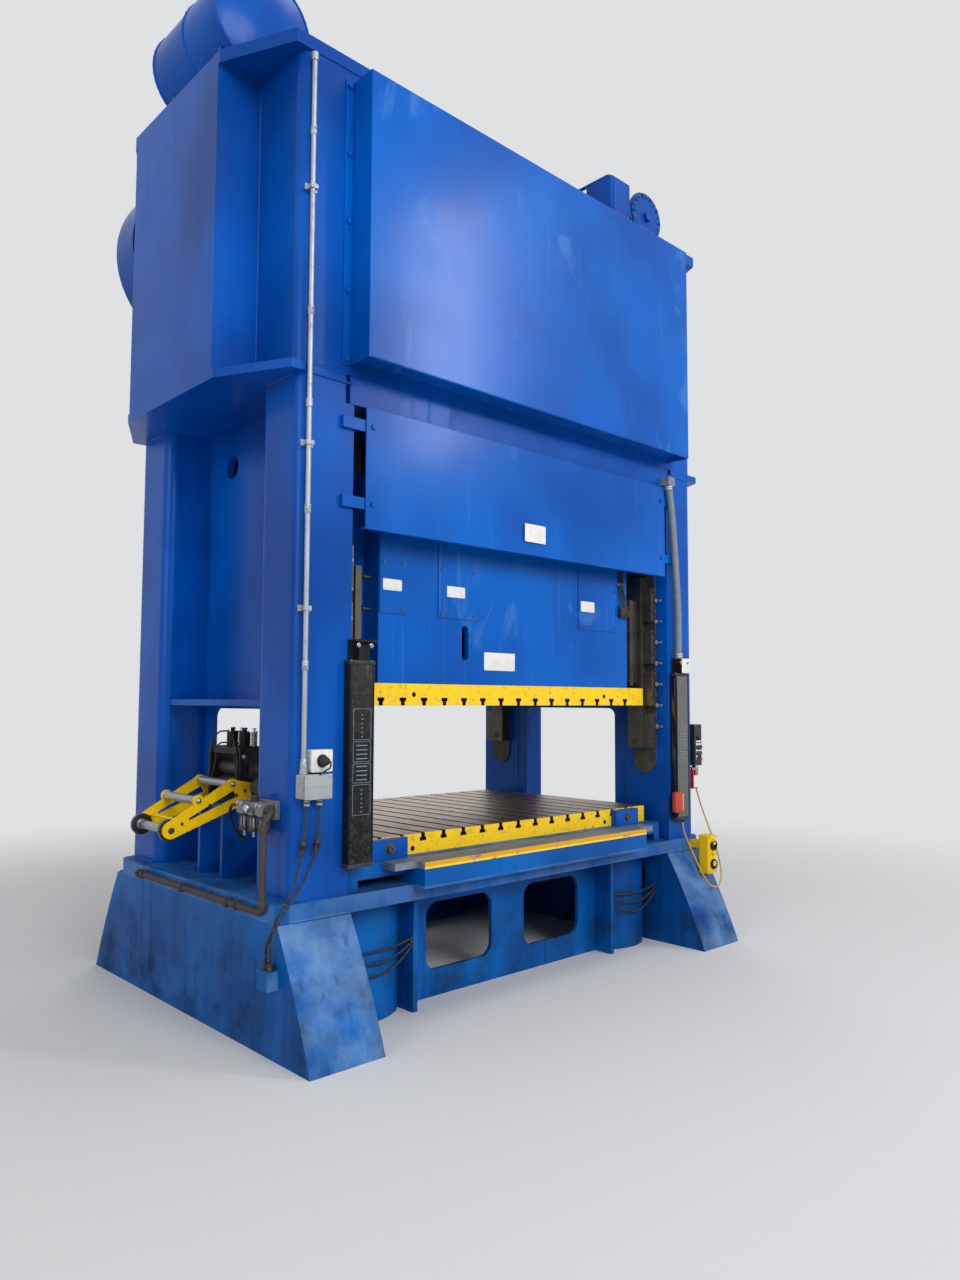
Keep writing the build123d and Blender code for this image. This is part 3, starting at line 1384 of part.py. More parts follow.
# Counterbalance: cylinders on the crown's base plate, rods and pistons carried by the slide
with BuildPart() as balance_cylinders:
    for x in (-balance_x, balance_x):
        upright_bar(x, 0, balance_cylinder_radius, crown_base_top, balance_cylinder_top)
        upright_bar(x, 0, balance_cylinder_radius + balance_flange_lap, crown_base_top,
                    crown_base_top + balance_flange_thickness)
        upright_bar(x, 0, balance_cylinder_radius - balance_cylinder_wall, crown_base_top - 1,
                    balance_cylinder_top - balance_cylinder_wall, Mode.SUBTRACT)
balance_cylinders.part.label = "balance_cylinders"
export_step(balance_cylinders.part, "parts/balance_cylinders.step")

with BuildPart() as balance_rods:
    for x in (-balance_x, balance_x):
        upright_bar(x, 0, balance_rod_radius, slide_top, balance_piston_bottom + 5)
        upright_bar(x, 0, balance_rod_radius + balance_foot_lap, slide_top,
                    slide_top + balance_foot_thickness)
        upright_bar(x, 0, balance_cylinder_radius - balance_cylinder_wall - running_clearance,
                    balance_piston_bottom, balance_piston_bottom + balance_piston_height)
balance_rods.part.label = "balance_rods"
export_step(balance_rods.part, "parts/balance_rods.step")

# Surge tank for the counterbalance air, lying front to back on two saddles
with BuildPart() as surge_tank:
    with BuildSketch(Plane.YZ.offset(surge_tank_x)):
        with BuildLine():
            tank_ends = (surge_tank_front - surge_tank_dome, surge_tank_back + surge_tank_dome)
            middle_y = (surge_tank_front + surge_tank_back) / 2
            Polyline((tank_ends[0], surge_tank_z + surge_boss_radius), (tank_ends[0], surge_tank_z),
                     (tank_ends[1], surge_tank_z), (tank_ends[1], surge_tank_z + surge_boss_radius))
            ThreePointArc((tank_ends[1], surge_tank_z + surge_boss_radius),
                          (surge_tank_back + dome_depth_share * surge_tank_dome,
                           surge_tank_z + dome_height_share * surge_tank_radius),
                          (surge_tank_back, surge_tank_z + surge_tank_radius))
            Line((surge_tank_back, surge_tank_z + surge_tank_radius),
                 (surge_tank_front, surge_tank_z + surge_tank_radius))
            ThreePointArc((surge_tank_front, surge_tank_z + surge_tank_radius),
                          (surge_tank_front - dome_depth_share * surge_tank_dome,
                           surge_tank_z + dome_height_share * surge_tank_radius),
                          (tank_ends[0], surge_tank_z + surge_boss_radius))
        make_face()
    revolve(axis=Axis((surge_tank_x, 0, surge_tank_z), (0, 1, 0)))
    for y in (surge_tank_front + saddle_inset, surge_tank_back - saddle_inset):
        box_between((surge_tank_x - saddle_width / 2, y - saddle_thickness / 2, crown_top),
                    (surge_tank_x + saddle_width / 2, y + saddle_thickness / 2, crown_top + saddle_height))
    tank_top = surge_tank_z + surge_tank_radius
    upright_bar(surge_tank_x, middle_y, surge_port_radius, tank_top - surge_port_sink,
                tank_top + surge_port_rise)
    rod_along_y(surge_tank_x, surge_tank_z, surge_tank_radius - surge_tank_wall,
                surge_tank_front + surge_tank_wall, surge_tank_back - surge_tank_wall, Mode.SUBTRACT)
    upright_bar(surge_tank_x, middle_y, surge_port_radius - surge_tank_wall, tank_top - surge_bore_depth,
                tank_top + 2 * surge_port_rise, Mode.SUBTRACT)
surge_tank.part.label = "surge_tank"
export_step(surge_tank.part, "parts/surge_tank.step")

# Lubrication drum, box and pipe at the front of the crown
with BuildPart() as pump_drum:
    drum_back = pump_drum_front + pump_drum_length
    rod_along_y(pump_drum_x, pump_drum_z, pump_drum_radius - pump_drum_wall, pump_drum_front + 20, drum_back)
    rod_along_y(pump_drum_x, pump_drum_z, pump_drum_radius, pump_drum_front,
                pump_drum_front + pump_flange_thickness)
    fillet(edges().filter_by(GeomType.CIRCLE).group_by(Axis.Y)[-1], pump_drum_corner)
    rod_along_y(pump_drum_x, pump_drum_z, pump_hub_radius, pump_drum_front - pump_hub_length,
                pump_drum_front + 5)
    box_between((pump_drum_x - pump_stand_half, pump_drum_front + pump_stand_inset, crown_top),
                (pump_drum_x + pump_stand_half, drum_back - pump_stand_inset, pump_drum_z - pump_stand_half))
    with BuildSketch(at_y(pump_drum_front)):
        with Locations((pump_drum_x, pump_drum_z)):
            with PolarLocations(pump_drum_radius - 20, pump_bolt_count):
                RegularPolygon(pump_bolt_radius, 6)
    extrude(amount=pump_bolt_head)
pump_drum.part.label = "pump_drum"
export_step(pump_drum.part, "parts/pump_drum.step")

with BuildPart() as pump_box:
    pump_box_y = pump_drum_front + pump_box_depth / 2
    box_between((pump_box_x - pump_box_width / 2, pump_drum_front, crown_top),
                (pump_box_x + pump_box_width / 2, pump_drum_front + pump_box_depth,
                 crown_top + pump_box_height))
    fillet(edges().filter_by(Axis.Z), pump_box_corner)
    lid_half = pump_box_width / 2 - pump_box_corner
    pump_box_top = crown_top + pump_box_height
    box_between((pump_box_x - lid_half, pump_drum_front - pump_lid_thickness, crown_top + pump_lid_bottom),
                (pump_box_x + lid_half, pump_drum_front + 1, pump_box_top - pump_box_corner))
    oil_pipe_x = pump_box_x + oil_pipe_offset
    add(tube([(oil_pipe_x, pump_box_y, pump_box_top), (oil_pipe_x, pump_box_y, pump_box_top + oil_pipe_rise),
              (oil_pipe_x, pump_box_y + oil_pipe_run, pump_box_top + oil_pipe_rise),
              (oil_pipe_x, pump_box_y + oil_pipe_run, crown_top)], conduit_radius, oil_pipe_bend))
pump_box.part.label = "pump_box"
export_step(pump_box.part, "parts/pump_box.step")

# Light curtains on the fronts of the uprights, each hung from a bracket
with BuildPart() as light_curtains:
    for x in (curtain_left_x, curtain_right_x):
        box_between((x - curtain_width / 2, -upright_front - curtain_depth, curtain_bottom),
                    (x + curtain_width / 2, -upright_front, curtain_top))
    fillet(edges().filter_by(Axis.Z).group_by(Axis.Y)[0], curtain_corner)
    upright_bar(loop_end[0], loop_end[1], gland_radius, loop_end[2], curtain_bottom + 1)
    for x in (curtain_left_x, curtain_right_x):
        box_between((x - curtain_groove_half, -upright_front - curtain_depth - 0.5,
                     curtain_bottom + curtain_groove_inset),
                    (x + curtain_groove_half, -upright_front - curtain_depth + curtain_groove_depth,
                     curtain_top - curtain_groove_inset), Mode.SUBTRACT)
    for x in (curtain_left_x, curtain_right_x):
        bracket_top = curtain_top + curtain_bracket_height
        box_between((x - bracket_reach, -upright_front - bracket_plate, curtain_top),
                    (x + curtain_width / 2, -upright_front, bracket_top))
        box_between((x - hook_half, -upright_front - curtain_depth, curtain_top - 1),
                    (x + hook_half, -upright_front - bracket_plate, bracket_top - hook_drop))
        box_between((x - bracket_reach, -upright_front - curtain_depth - bracket_lip,
                     bracket_top - bracket_plate),
                    (x + curtain_width / 2, -upright_front, bracket_top))
light_curtains.part.label = "light_curtains"
export_step(light_curtains.part, "parts/light_curtains.step")

# Conduits, with clamps, boxes and the outlet on the left upright
with BuildPart() as left_conduit:
    conduit_y = -upright_front - conduit_standoff
    upright_bar(conduit_left_x, conduit_y, conduit_radius, box_top, conduit_left_top)
    for z in (box_top + conduit_box_gap, conduit_joint_z, conduit_left_top - conduit_end_gap):
        upright_bar(conduit_left_x, conduit_y, conduit_radius + conduit_sleeve_lap, z,
                    z + conduit_sleeve_length)
    for z in conduit_clamp_heights:
        box_between((conduit_left_x - clamp_strap_half, -upright_front - clamp_strap_thickness,
                     z - clamp_strap_height / 2),
                    (conduit_left_x + clamp_strap_half, -upright_front, z + clamp_strap_height / 2))
        box_between((conduit_left_x - clamp_saddle_half, conduit_y - conduit_radius - conduit_sleeve_lap,
                     z - clamp_saddle_height / 2),
                    (conduit_left_x + clamp_saddle_half, -upright_front, z + clamp_saddle_height / 2))
left_conduit.part.label = "left_conduit"
export_step(left_conduit.part, "parts/left_conduit.step")

with BuildPart() as junction_box:
    box_between((box_left_x - box_width / 2, -upright_front - box_depth, box_bottom),
                (box_left_x + box_width / 2, -upright_front, box_top))
    fillet(edges().filter_by(Axis.Y), box_corner)
    lid_half = box_width / 2 - box_lid_margin
    box_between((box_left_x - lid_half, -upright_front - box_depth - box_lid_thickness,
                 box_bottom + box_lid_margin),
                (box_left_x + lid_half, -upright_front - box_depth + 1, box_top - box_lid_margin))
    for x in (box_left_x - box_gland_spread, box_left_x + box_gland_spread):
        upright_bar(x, -upright_front - box_depth / 2, box_gland_radius, box_bottom - box_gland_length,
                    box_bottom + 1)
junction_box.part.label = "junction_box"
export_step(junction_box.part, "parts/junction_box.step")

with BuildPart() as outlet:
    box_between((outlet_x - outlet_width / 2, -upright_front - outlet_depth, outlet_bottom),
                (outlet_x + outlet_width / 2, -upright_front, outlet_top))
    fillet(edges().filter_by(Axis.Y), box_corner)
    outlet_face = -upright_front - outlet_depth
    for x in (outlet_x - outlet_port_spread, outlet_x + outlet_port_spread):
        rod_along_y(x, (outlet_bottom + outlet_top) / 2, outlet_port_radius, outlet_face - outlet_port_rise,
                    outlet_face + 1)
outlet.part.label = "outlet"
export_step(outlet.part, "parts/outlet.step")

with BuildPart() as right_conduit:
    hose_y = -upright_front - guard_standoff - conduit_right_radius - hose_gap
    hose_bottom = curtain_top + curtain_bracket_height
    with BuildLine() as hose_path:
        hose_end_x = conduit_right_x - hose_end_offset
        Spline((conduit_right_x, hose_y, hose_bottom),
               (conduit_right_x, hose_y, hose_bottom + hose_straight),
               (conduit_right_x - hose_lean, hose_y, hose_lean_z),
               (hose_end_x, hose_y, front_plate_bottom + hose_end_rise),
               tangents=((0, 0, 1), (-hose_end_slope, 0, 1)))
    with BuildSketch(Plane(origin=hose_path.line @ 0, z_dir=(0, 0, 1))):
        Circle(conduit_right_radius)
    sweep(path=hose_path.line)
    upright_bar(conduit_right_x, hose_y, conduit_right_radius + conduit_sleeve_lap, hose_bottom,
                hose_bottom + conduit_sleeve_length)
    block_bottom = front_plate_bottom + hose_block_rise
    box_between((hose_end_x - hose_block_width / 2, hose_y - conduit_right_radius - hose_block_lap,
                 block_bottom),
                (hose_end_x + hose_block_width / 2, -upright_front, block_bottom + hose_block_height))
right_conduit.part.label = "right_conduit"
export_step(right_conduit.part, "parts/right_conduit.step")

# Small things on the right: a strip on the curtain, a control unit, a lock block and a hand box
with BuildPart() as marker_strip:
    box_between((strip_x - strip_width / 2, -upright_front - curtain_depth - strip_depth, strip_bottom),
                (strip_x + strip_width / 2, -upright_front - curtain_depth, strip_top))
    fillet(edges().filter_by(Axis.Y), strip_corner)
marker_strip.part.label = "marker_strip"
export_step(marker_strip.part, "parts/marker_strip.step")

with BuildPart() as control_unit:
    box_between((upright_outer, control_y - control_depth / 2, control_bottom),
                (upright_outer + control_width, control_y + control_depth / 2, control_top))
    fillet(edges().filter_by(Axis.Z).group_by(Axis.Y)[0], control_corner)
    control_face = control_y - control_depth / 2
    for rise in control_button_rises:
        rod_along_y(control_x, control_bottom + rise, control_button_radius,
                    control_face - control_button_height,
                    control_face + 1)
    upright_bar(loop_start[0], loop_start[1], gland_radius, loop_start[2], control_bottom + 1)
control_unit.part.label = "control_unit"
export_step(control_unit.part, "parts/control_unit.step")

with BuildPart() as lock_block:
    box_between((upright_outer, control_y - lockout_depth / 2, lockout_bottom),
                (upright_outer + lockout_width, control_y + lockout_depth / 2, lockout_top))
    fillet(edges().filter_by(Axis.Z).group_by(Axis.X)[-1], lockout_corner)
    upright_bar(upright_outer + lockout_width / 2, control_y, lockout_stem_radius, lockout_top - 1,
                lockout_top + lockout_stem_height)
lock_block.part.label = "lock_block"
export_step(lock_block.part, "parts/lock_block.step")

with BuildPart() as hand_box:
    box_between((hand_box_x - hand_box_width / 2, hand_box_y - hand_box_depth / 2, hand_box_bottom),
                (hand_box_x + hand_box_width / 2, hand_box_y + hand_box_depth / 2, hand_box_top))
    fillet(edges().filter_by(Axis.Z), hand_box_corner)
    box_between((hand_box_x - hand_arm_left, hand_box_y + hand_box_depth / 2 - 1,
                 bed_flange_top - hand_arm_bottom),
                (hand_box_x + hand_arm_right, -bed_flange_front, bed_flange_top - hand_arm_top))
    hand_face = hand_box_y - hand_box_depth / 2
    for rise in hand_button_rises:
        rod_along_y(hand_box_x, hand_box_bottom + rise, hand_button_radius, hand_face - hand_button_height,
                    hand_face + 1)
hand_box.part.label = "hand_box"
export_step(hand_box.part, "parts/hand_box.step")

# Air service unit on the left upright, with its pipe along the bed
with BuildPart() as air_unit:
    for i in (-1, 0, 1):
        y = filter_y + i * filter_pitch
        box_between((filter_x - filter_body / 2, y - filter_body / 2, filter_head_bottom),
                    (filter_x + filter_body / 2, y + filter_body / 2, filter_head_top))
        upright_bar(filter_x, y, filter_bowl_radius + filter_collar_lap,
                    filter_head_bottom - filter_collar_height,
                    filter_head_bottom + 1)
    rod_y_low = filter_y - filter_pitch
    rod_along_y(filter_x, (filter_head_bottom + filter_head_top) / 2, filter_tie_radius, rod_y_low,
                filter_y + filter_pitch)
    box_between((filter_x + filter_body / 2 - 1, filter_y - filter_plate_front * filter_pitch,
                 filter_head_bottom - filter_plate_drop),
                (-upright_outer, filter_y + filter_plate_back * filter_pitch,
                 filter_head_top + filter_plate_rise))
air_unit.part.label = "air_unit"
export_step(air_unit.part, "parts/air_unit.step")

with BuildPart() as air_bowls:
    for i in (-1, 0, 1):
        y = filter_y + i * filter_pitch
        upright_bar(filter_x, y, filter_bowl_radius, filter_bottom,
                    filter_head_bottom - filter_collar_height)
    fillet(edges().filter_by(GeomType.CIRCLE).group_by(Axis.Z)[0], filter_bowl_corner)
air_bowls.part.label = "air_bowls"
export_step(air_bowls.part, "parts/air_bowls.step")

with BuildPart() as air_knob:
    upright_bar(filter_x, filter_y, knob_radius, filter_head_top, filter_head_top + knob_height)
    with BuildSketch(Plane.XY.offset(filter_head_top + knob_flute_rise)):
        with Locations((filter_x, filter_y)):
            with PolarLocations(knob_radius, knob_flute_count):
                Circle(knob_flute_radius)
    extrude(amount=knob_height - knob_flute_rise, mode=Mode.SUBTRACT)
air_knob.part.label = "air_knob"
export_step(air_knob.part, "parts/air_knob.step")

with BuildPart() as air_pipe:
    pipe_start_y = filter_y - filter_pitch - filter_body / 2
    pipe_z = (filter_head_bottom + filter_head_top) / 2
    add(tube([(filter_x, pipe_start_y, pipe_z), (filter_x, pipe_drop_y, pipe_z),
              (pipe_x, pipe_drop_y, pipe_z - pipe_knee), (pipe_x, pipe_drop_y, pipe_low_z),
              (pipe_x, pipe_end_y, pipe_low_z)], pipe_radius, pipe_bend))
    clamp_radius = pipe_radius + pipe_clamp_lap
    for y in (-pipe_clamp_pitch, 0, pipe_clamp_pitch):
        box_between((pipe_x - clamp_radius, y - pipe_clamp_half, pipe_low_z - clamp_radius),
                    (-bed_half_length, y + pipe_clamp_half, pipe_low_z + clamp_radius))
air_pipe.part.label = "air_pipe"
export_step(air_pipe.part, "parts/air_pipe.step")

# Strip feeder at the left window: stand, feed unit, arms and support rollers
with BuildPart() as feeder_stand:
    for y in (-feeder_leg_y, feeder_leg_y):
        box_between((-feeder_table_out + feeder_leg_inset, y - feeder_leg_half, bed_flange_top),
                    (-feeder_stand_inner, y + feeder_leg_half, feeder_table_top - feeder_table_thickness))
    box_between((-feeder_table_out, -feeder_half_width, feeder_table_top - feeder_table_thickness),
                (-feeder_stand_inner, feeder_half_width, feeder_table_top))
feeder_stand.part.label = "feeder_stand"
export_step(feeder_stand.part, "parts/feeder_stand.step")

with BuildPart() as feeder_frame:
    for side in (-1, 1):
        plate = sorted((side * feed_roll_length / 2, side * (feed_roll_length / 2 + feeder_side_thickness)))
        box_between((feed_x - feeder_half_length, plate[0], feeder_table_top),
                    (feed_x + feeder_half_length, plate[1], feeder_top))
    box_between((feed_x - feeder_half_length, -feed_roll_length / 2 - 1, feeder_top - feeder_beam_depth),
                (feed_x + feeder_half_length, feed_roll_length / 2 + 1, feeder_top))
    box_between((feed_x - feeder_half_length, -feed_roll_length / 2 - 1, feeder_table_top),
                (feed_x + feeder_half_length, feed_roll_length / 2 + 1,
                 feeder_table_top + feeder_base_depth))
    for y in (-lift_cylinder_y, lift_cylinder_y):
        upright_bar(feed_x, y, lift_cylinder_radius, feeder_top - 5, feeder_top + lift_cylinder_height)
        upright_bar(feed_x, y, lift_rod_radius, feeder_top + lift_cylinder_height - 5,
                    feeder_top + lift_rod_height)
    for z in (feed_line - feed_roll_rise, feed_line + feed_roll_rise):
        rod_along_y(feed_x, z, feed_roll_shaft + running_clearance, -feed_roll_length, feed_roll_length,
                    Mode.SUBTRACT)
feeder_frame.part.label = "feeder_frame"
export_step(feeder_frame.part, "parts/feeder_frame.step")


def feed_roll(z, drive_end):
    """One feed roll with its journals; the driven one carries a wheel on its front end."""
    with BuildPart() as roll:
        rod_along_y(feed_x, z, feed_roll_radius, -feed_roll_length / 2 + roll_end_gap,
                    feed_roll_length / 2 - roll_end_gap)
        rod_along_y(feed_x, z, feed_roll_shaft, -feed_roll_length / 2 - feeder_side_thickness - drive_end,
                    feed_roll_length / 2 + feeder_side_thickness + roll_plain_end)
        if drive_end > roll_plain_end:
            wheel_front = -feed_roll_length / 2 - feeder_side_thickness - drive_end
            rod_along_y(feed_x, z, feed_roll_radius - roll_wheel_step, wheel_front,
                        wheel_front + roll_wheel_width)
    return roll.part


lower_feed_roll = feed_roll(feed_line - feed_roll_rise, roll_drive_end)
lower_feed_roll.label = "lower_feed_roll"
export_step(lower_feed_roll, "parts/lower_feed_roll.step")
upper_feed_roll = feed_roll(feed_line + feed_roll_rise, roll_plain_end)
upper_feed_roll.label = "upper_feed_roll"
export_step(upper_feed_roll, "parts/upper_feed_roll.step")

roller_places = ((low_roll_x, low_roll_z), (mid_roll_x, mid_roll_z), (top_roll_x, top_roll_z))

with BuildPart() as feeder_arms:
    for back in (arm_y + arm_thickness, -arm_y):
        with BuildSketch(at_y(back)):
            with Locations((low_roll_x, low_roll_z)):
                Circle(arm_low_radius)
            with Locations((top_roll_x, top_roll_z)):
                Circle(arm_top_radius)
            with Locations((arm_root_x, arm_root_heights[0]), (arm_root_x, arm_root_heights[1])):
                Circle(arm_root_radius)
            make_hull()
            with Locations((mid_roll_x, mid_roll_z), (top_roll_x, top_roll_z)):
                Circle(arm_boss_radius)
        extrude(amount=arm_thickness)
        with BuildSketch(at_y(back)):
            with Locations((low_roll_x + arm_slot_low[0], low_roll_z + arm_slot_low[1])):
                Circle(arm_slot_radii[0])
            with Locations((top_roll_x + arm_slot_top[0], top_roll_z + arm_slot_top[1])):
                Circle(arm_slot_radii[1])
            with Locations((arm_root_x - arm_slot_root_offset, arm_slot_root_z)):
                Circle(arm_slot_radii[2])
            make_hull()
        extrude(amount=arm_thickness, mode=Mode.SUBTRACT)
        with BuildSketch(at_y(back)):
            with Locations(roller_places):
                Circle(support_roll_shaft + running_clearance)
        extrude(amount=arm_thickness, mode=Mode.SUBTRACT)
    rod_along_y(low_roll_x + arm_stay[0], low_roll_z + arm_stay[1], arm_stay_radius, -arm_y - 1, arm_y + 1)
feeder_arms.part.label = "feeder_arms"
export_step(feeder_arms.part, "parts/feeder_arms.step")


def support_roller(x, z, flanged):
    """A roller between the arms; the lowest one has flanges that keep the strip in its place."""
    with BuildPart() as roller:
        rod_along_y(x, z, support_roll_radius, -arm_y + roller_end_gap, arm_y - roller_end_gap)
        shaft_half = arm_y + arm_thickness + roller_shaft_reach
        rod_along_y(x, z, support_roll_shaft, -shaft_half, shaft_half)
        if flanged:
            for side in (-1, 1):
                rim_face = arm_y - flange_end_gap
                rim = sorted((side * (rim_face - low_flange_width), side * rim_face))
                rod_along_y(x, z, low_flange_radius, rim[0], rim[1])
    return roller.part


low_support_roller = support_roller(low_roll_x, low_roll_z, True)
low_support_roller.label = "low_support_roller"
export_step(low_support_roller, "parts/low_support_roller.step")
mid_support_roller = support_roller(mid_roll_x, mid_roll_z, False)
mid_support_roller.label = "mid_support_roller"
export_step(mid_support_roller, "parts/mid_support_roller.step")
top_support_roller = support_roller(top_roll_x, top_roll_z, False)
top_support_roller.label = "top_support_roller"
export_step(top_support_roller, "parts/top_support_roller.step")

# Cord loop that hangs from the control unit, under the hand box and up to the right curtain
loop_route = [loop_start, (loop_start[0], loop_start[1], 1120), (1777, -900, 1020), (1787, -935, 900),
              (1797, -985, 770),
              (1797, -1035, 650), (1786, -1080, 540), (1755, -1115, 445), (1700, -1130, 385),
              (1635, -1130, 372),
              (1575, -1115, 410), (1535, -1090, 490), (1512, -1050, 590), (1501, -1005, 690),
              (loop_end[0], loop_end[1], 780), loop_end]
loop_cord = cord(loop_route, loop_cord_diameter)
loop_cord.label = "loop_cord"
export_step(loop_cord, "parts/loop_cord.step")

# Two cords from the junction box, each with a coupling, over the flange and down to the box on the foot
gland_bottom = box_bottom - box_gland_length
gland_y = -upright_front - box_depth / 2
foot_gland_x = -bed_half_length - foot_box_depth / 2
foot_gland_top = foot_box_top + gland_length
left_gland_y = foot_box_y - cord_gland_pitch / 2
right_gland_y = foot_box_y + cord_gland_pitch / 2
left_box_route = [(box_left_x - box_gland_spread, gland_y, gland_bottom),
                  (box_left_x - box_gland_spread, gland_y, 1110),
                  (-1655, -975, 1030), (-1672, -976, 925), (-1700, -972, 825), (-1735, -968, 745),
                  (-1776, -960, 685), (-1796, -938, 615), (-1804, -929, 550),
                  (foot_gland_x, left_gland_y, 490),
                  (foot_gland_x, left_gland_y, foot_gland_top)]
right_box_route = [(box_left_x + box_gland_spread, gland_y, gland_bottom),
                   (box_left_x + box_gland_spread, gland_y, 1115),
                   (-1575, -977, 1035), (-1597, -978, 930), (-1642, -976, 840), (-1692, -975, 765),
                   (-1744, -977, 705), (-1792, -975, 637), (-1824, -937, 570),
                   (foot_gland_x, right_gland_y, 495),
                   (foot_gland_x, right_gland_y, foot_gland_top)]


def box_cord(route):
    """A cord with a round coupling between its second and third points after the gland."""
    start = Vector(*route[2])
    along = (Vector(*route[3]) - start).normalized()
    with BuildPart() as whole:
        add(cord(route, box_cord_diameter))
        with Locations(Plane(origin=start + along * coupling_reach, z_dir=along)):
            Cylinder(coupling_radius, coupling_length)
            Cylinder(coupling_radius + coupling_ring_lap, coupling_length / 4)
    return whole.part


left_box_cord = box_cord(left_box_route)
left_box_cord.label = "left_box_cord"
export_step(left_box_cord, "parts/left_box_cord.step")
right_box_cord = box_cord(right_box_route)
right_box_cord.label = "right_box_cord"
export_step(right_box_cord, "parts/right_box_cord.step")
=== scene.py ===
import math

import bpy
import numpy as np
from mathutils import Matrix, Vector


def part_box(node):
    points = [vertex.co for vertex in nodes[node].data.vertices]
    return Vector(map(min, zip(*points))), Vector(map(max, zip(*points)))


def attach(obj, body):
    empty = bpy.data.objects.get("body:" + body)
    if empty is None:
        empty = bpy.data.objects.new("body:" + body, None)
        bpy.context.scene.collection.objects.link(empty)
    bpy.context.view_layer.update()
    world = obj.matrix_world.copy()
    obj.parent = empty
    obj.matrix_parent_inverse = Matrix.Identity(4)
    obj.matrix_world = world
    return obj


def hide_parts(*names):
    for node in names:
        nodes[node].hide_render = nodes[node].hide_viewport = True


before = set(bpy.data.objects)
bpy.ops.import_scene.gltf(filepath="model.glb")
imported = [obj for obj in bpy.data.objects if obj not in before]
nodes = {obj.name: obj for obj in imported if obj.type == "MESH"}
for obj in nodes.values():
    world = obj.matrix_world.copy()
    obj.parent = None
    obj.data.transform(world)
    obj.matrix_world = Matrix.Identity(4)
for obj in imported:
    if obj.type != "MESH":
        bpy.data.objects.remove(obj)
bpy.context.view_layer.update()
print("frame loaded:", len(nodes), "nodes")


def link(name, data):
    # a new object in the scene's own collection
    made = bpy.data.objects.new(name, data)
    bpy.context.scene.collection.objects.link(made)
    return made


# the camera, solved from the photograph: place in metres, turns in degrees, focal length in pixels of its height
cameraView = {"place": (-4.0996, -4.7846, 1.681), "yaw": 43.337, "pitch": 3.804, "roll": 0.216,
              "focal": 919.52, "tall": 1280.0, "sensor": 36.0, "clip": (0.05, 200.0)}


def makeCamera():
    # forward = (sin yaw cos pitch, cos yaw cos pitch, sin pitch); right and up are then rolled about it
    data = bpy.data.cameras.new("photo_camera")
    data.sensor_fit = "AUTO"
    data.sensor_width = cameraView["sensor"]
    data.lens = cameraView["focal"] / cameraView["tall"] * data.sensor_width
    data.clip_start, data.clip_end = cameraView["clip"]
    camera = link("photo_camera", data)
    yaw, pitch, roll = (math.radians(cameraView[k]) for k in ("yaw", "pitch", "roll"))
    forward = Vector((math.sin(yaw) * math.cos(pitch), math.cos(yaw) * math.cos(pitch), math.sin(pitch)))
    right = Vector((math.cos(yaw), -math.sin(yaw), 0))
    up = right.cross(forward)
    right, up = (right * math.cos(roll) + up * math.sin(roll), up * math.cos(roll) - right * math.sin(roll))
    camera.rotation_mode = "QUATERNION"
    camera.rotation_quaternion = Matrix((right, up, -forward)).transposed().to_quaternion()
    camera.location = cameraView["place"]
    bpy.context.scene.camera = camera


class Wire:
    # wraps a socket, so that shader maths reads as arithmetic
    def __init__(self, tree, socket):
        self.tree = tree
        self.socket = socket

    def math(self, operation, first, second=None):
        # one maths node: first and second joined by the operation
        node = self.tree.nodes.new("ShaderNodeMath")
        node.operation = operation
        plug(self.tree, node.inputs[0], first)
        plug(self.tree, node.inputs[1], second)
        return Wire(self.tree, node.outputs[0])

    def size(self):
        # the value without its sign
        return self.math("ABSOLUTE", self)

    def root(self):
        # the value to the power of a half
        return self.math("POWER", self, 0.5)

    def most(self, other):
        # the larger of the two
        return self.math("MAXIMUM", self, other)

    def clamp(self):
        # held in 0 to 1
        return self.math("MINIMUM", self.math("MAXIMUM", self, 0.0), 1.0)

    def step(self, low, high):
        # t = (self - low) / (high - low) held in 0 to 1, then t * t * (3 - 2 t); low may be the larger
        t = ((self - low) / (high - low)).clamp()
        return t * t * (3.0 - 2.0 * t)


def arithmetic(operation, swapped):
    # self with other, or other with self where the plain number stands first
    if swapped:
        return lambda self, other: self.math(operation, other, self)
    return lambda self, other: self.math(operation, self, other)


for word, operation in (("add", "ADD"), ("sub", "SUBTRACT"), ("mul", "MULTIPLY"), ("truediv", "DIVIDE")):
    setattr(Wire, f"__{word}__", arithmetic(operation, False))
    setattr(Wire, f"__r{word}__", arithmetic(operation, True))


def plug(tree, slot, value):
    # links a socket to the slot, or sets the slot's own value; a colour of three gets a fourth of 1
    if isinstance(value, Wire):
        tree.links.new(value.socket, slot)
    elif isinstance(value, bpy.types.NodeSocket):
        tree.links.new(value, slot)
    elif value is not None:
        if hasattr(value, "__len__") and len(value) == 3 and len(slot.default_value) == 4:
            value = (*value, 1.0)
        slot.default_value = value


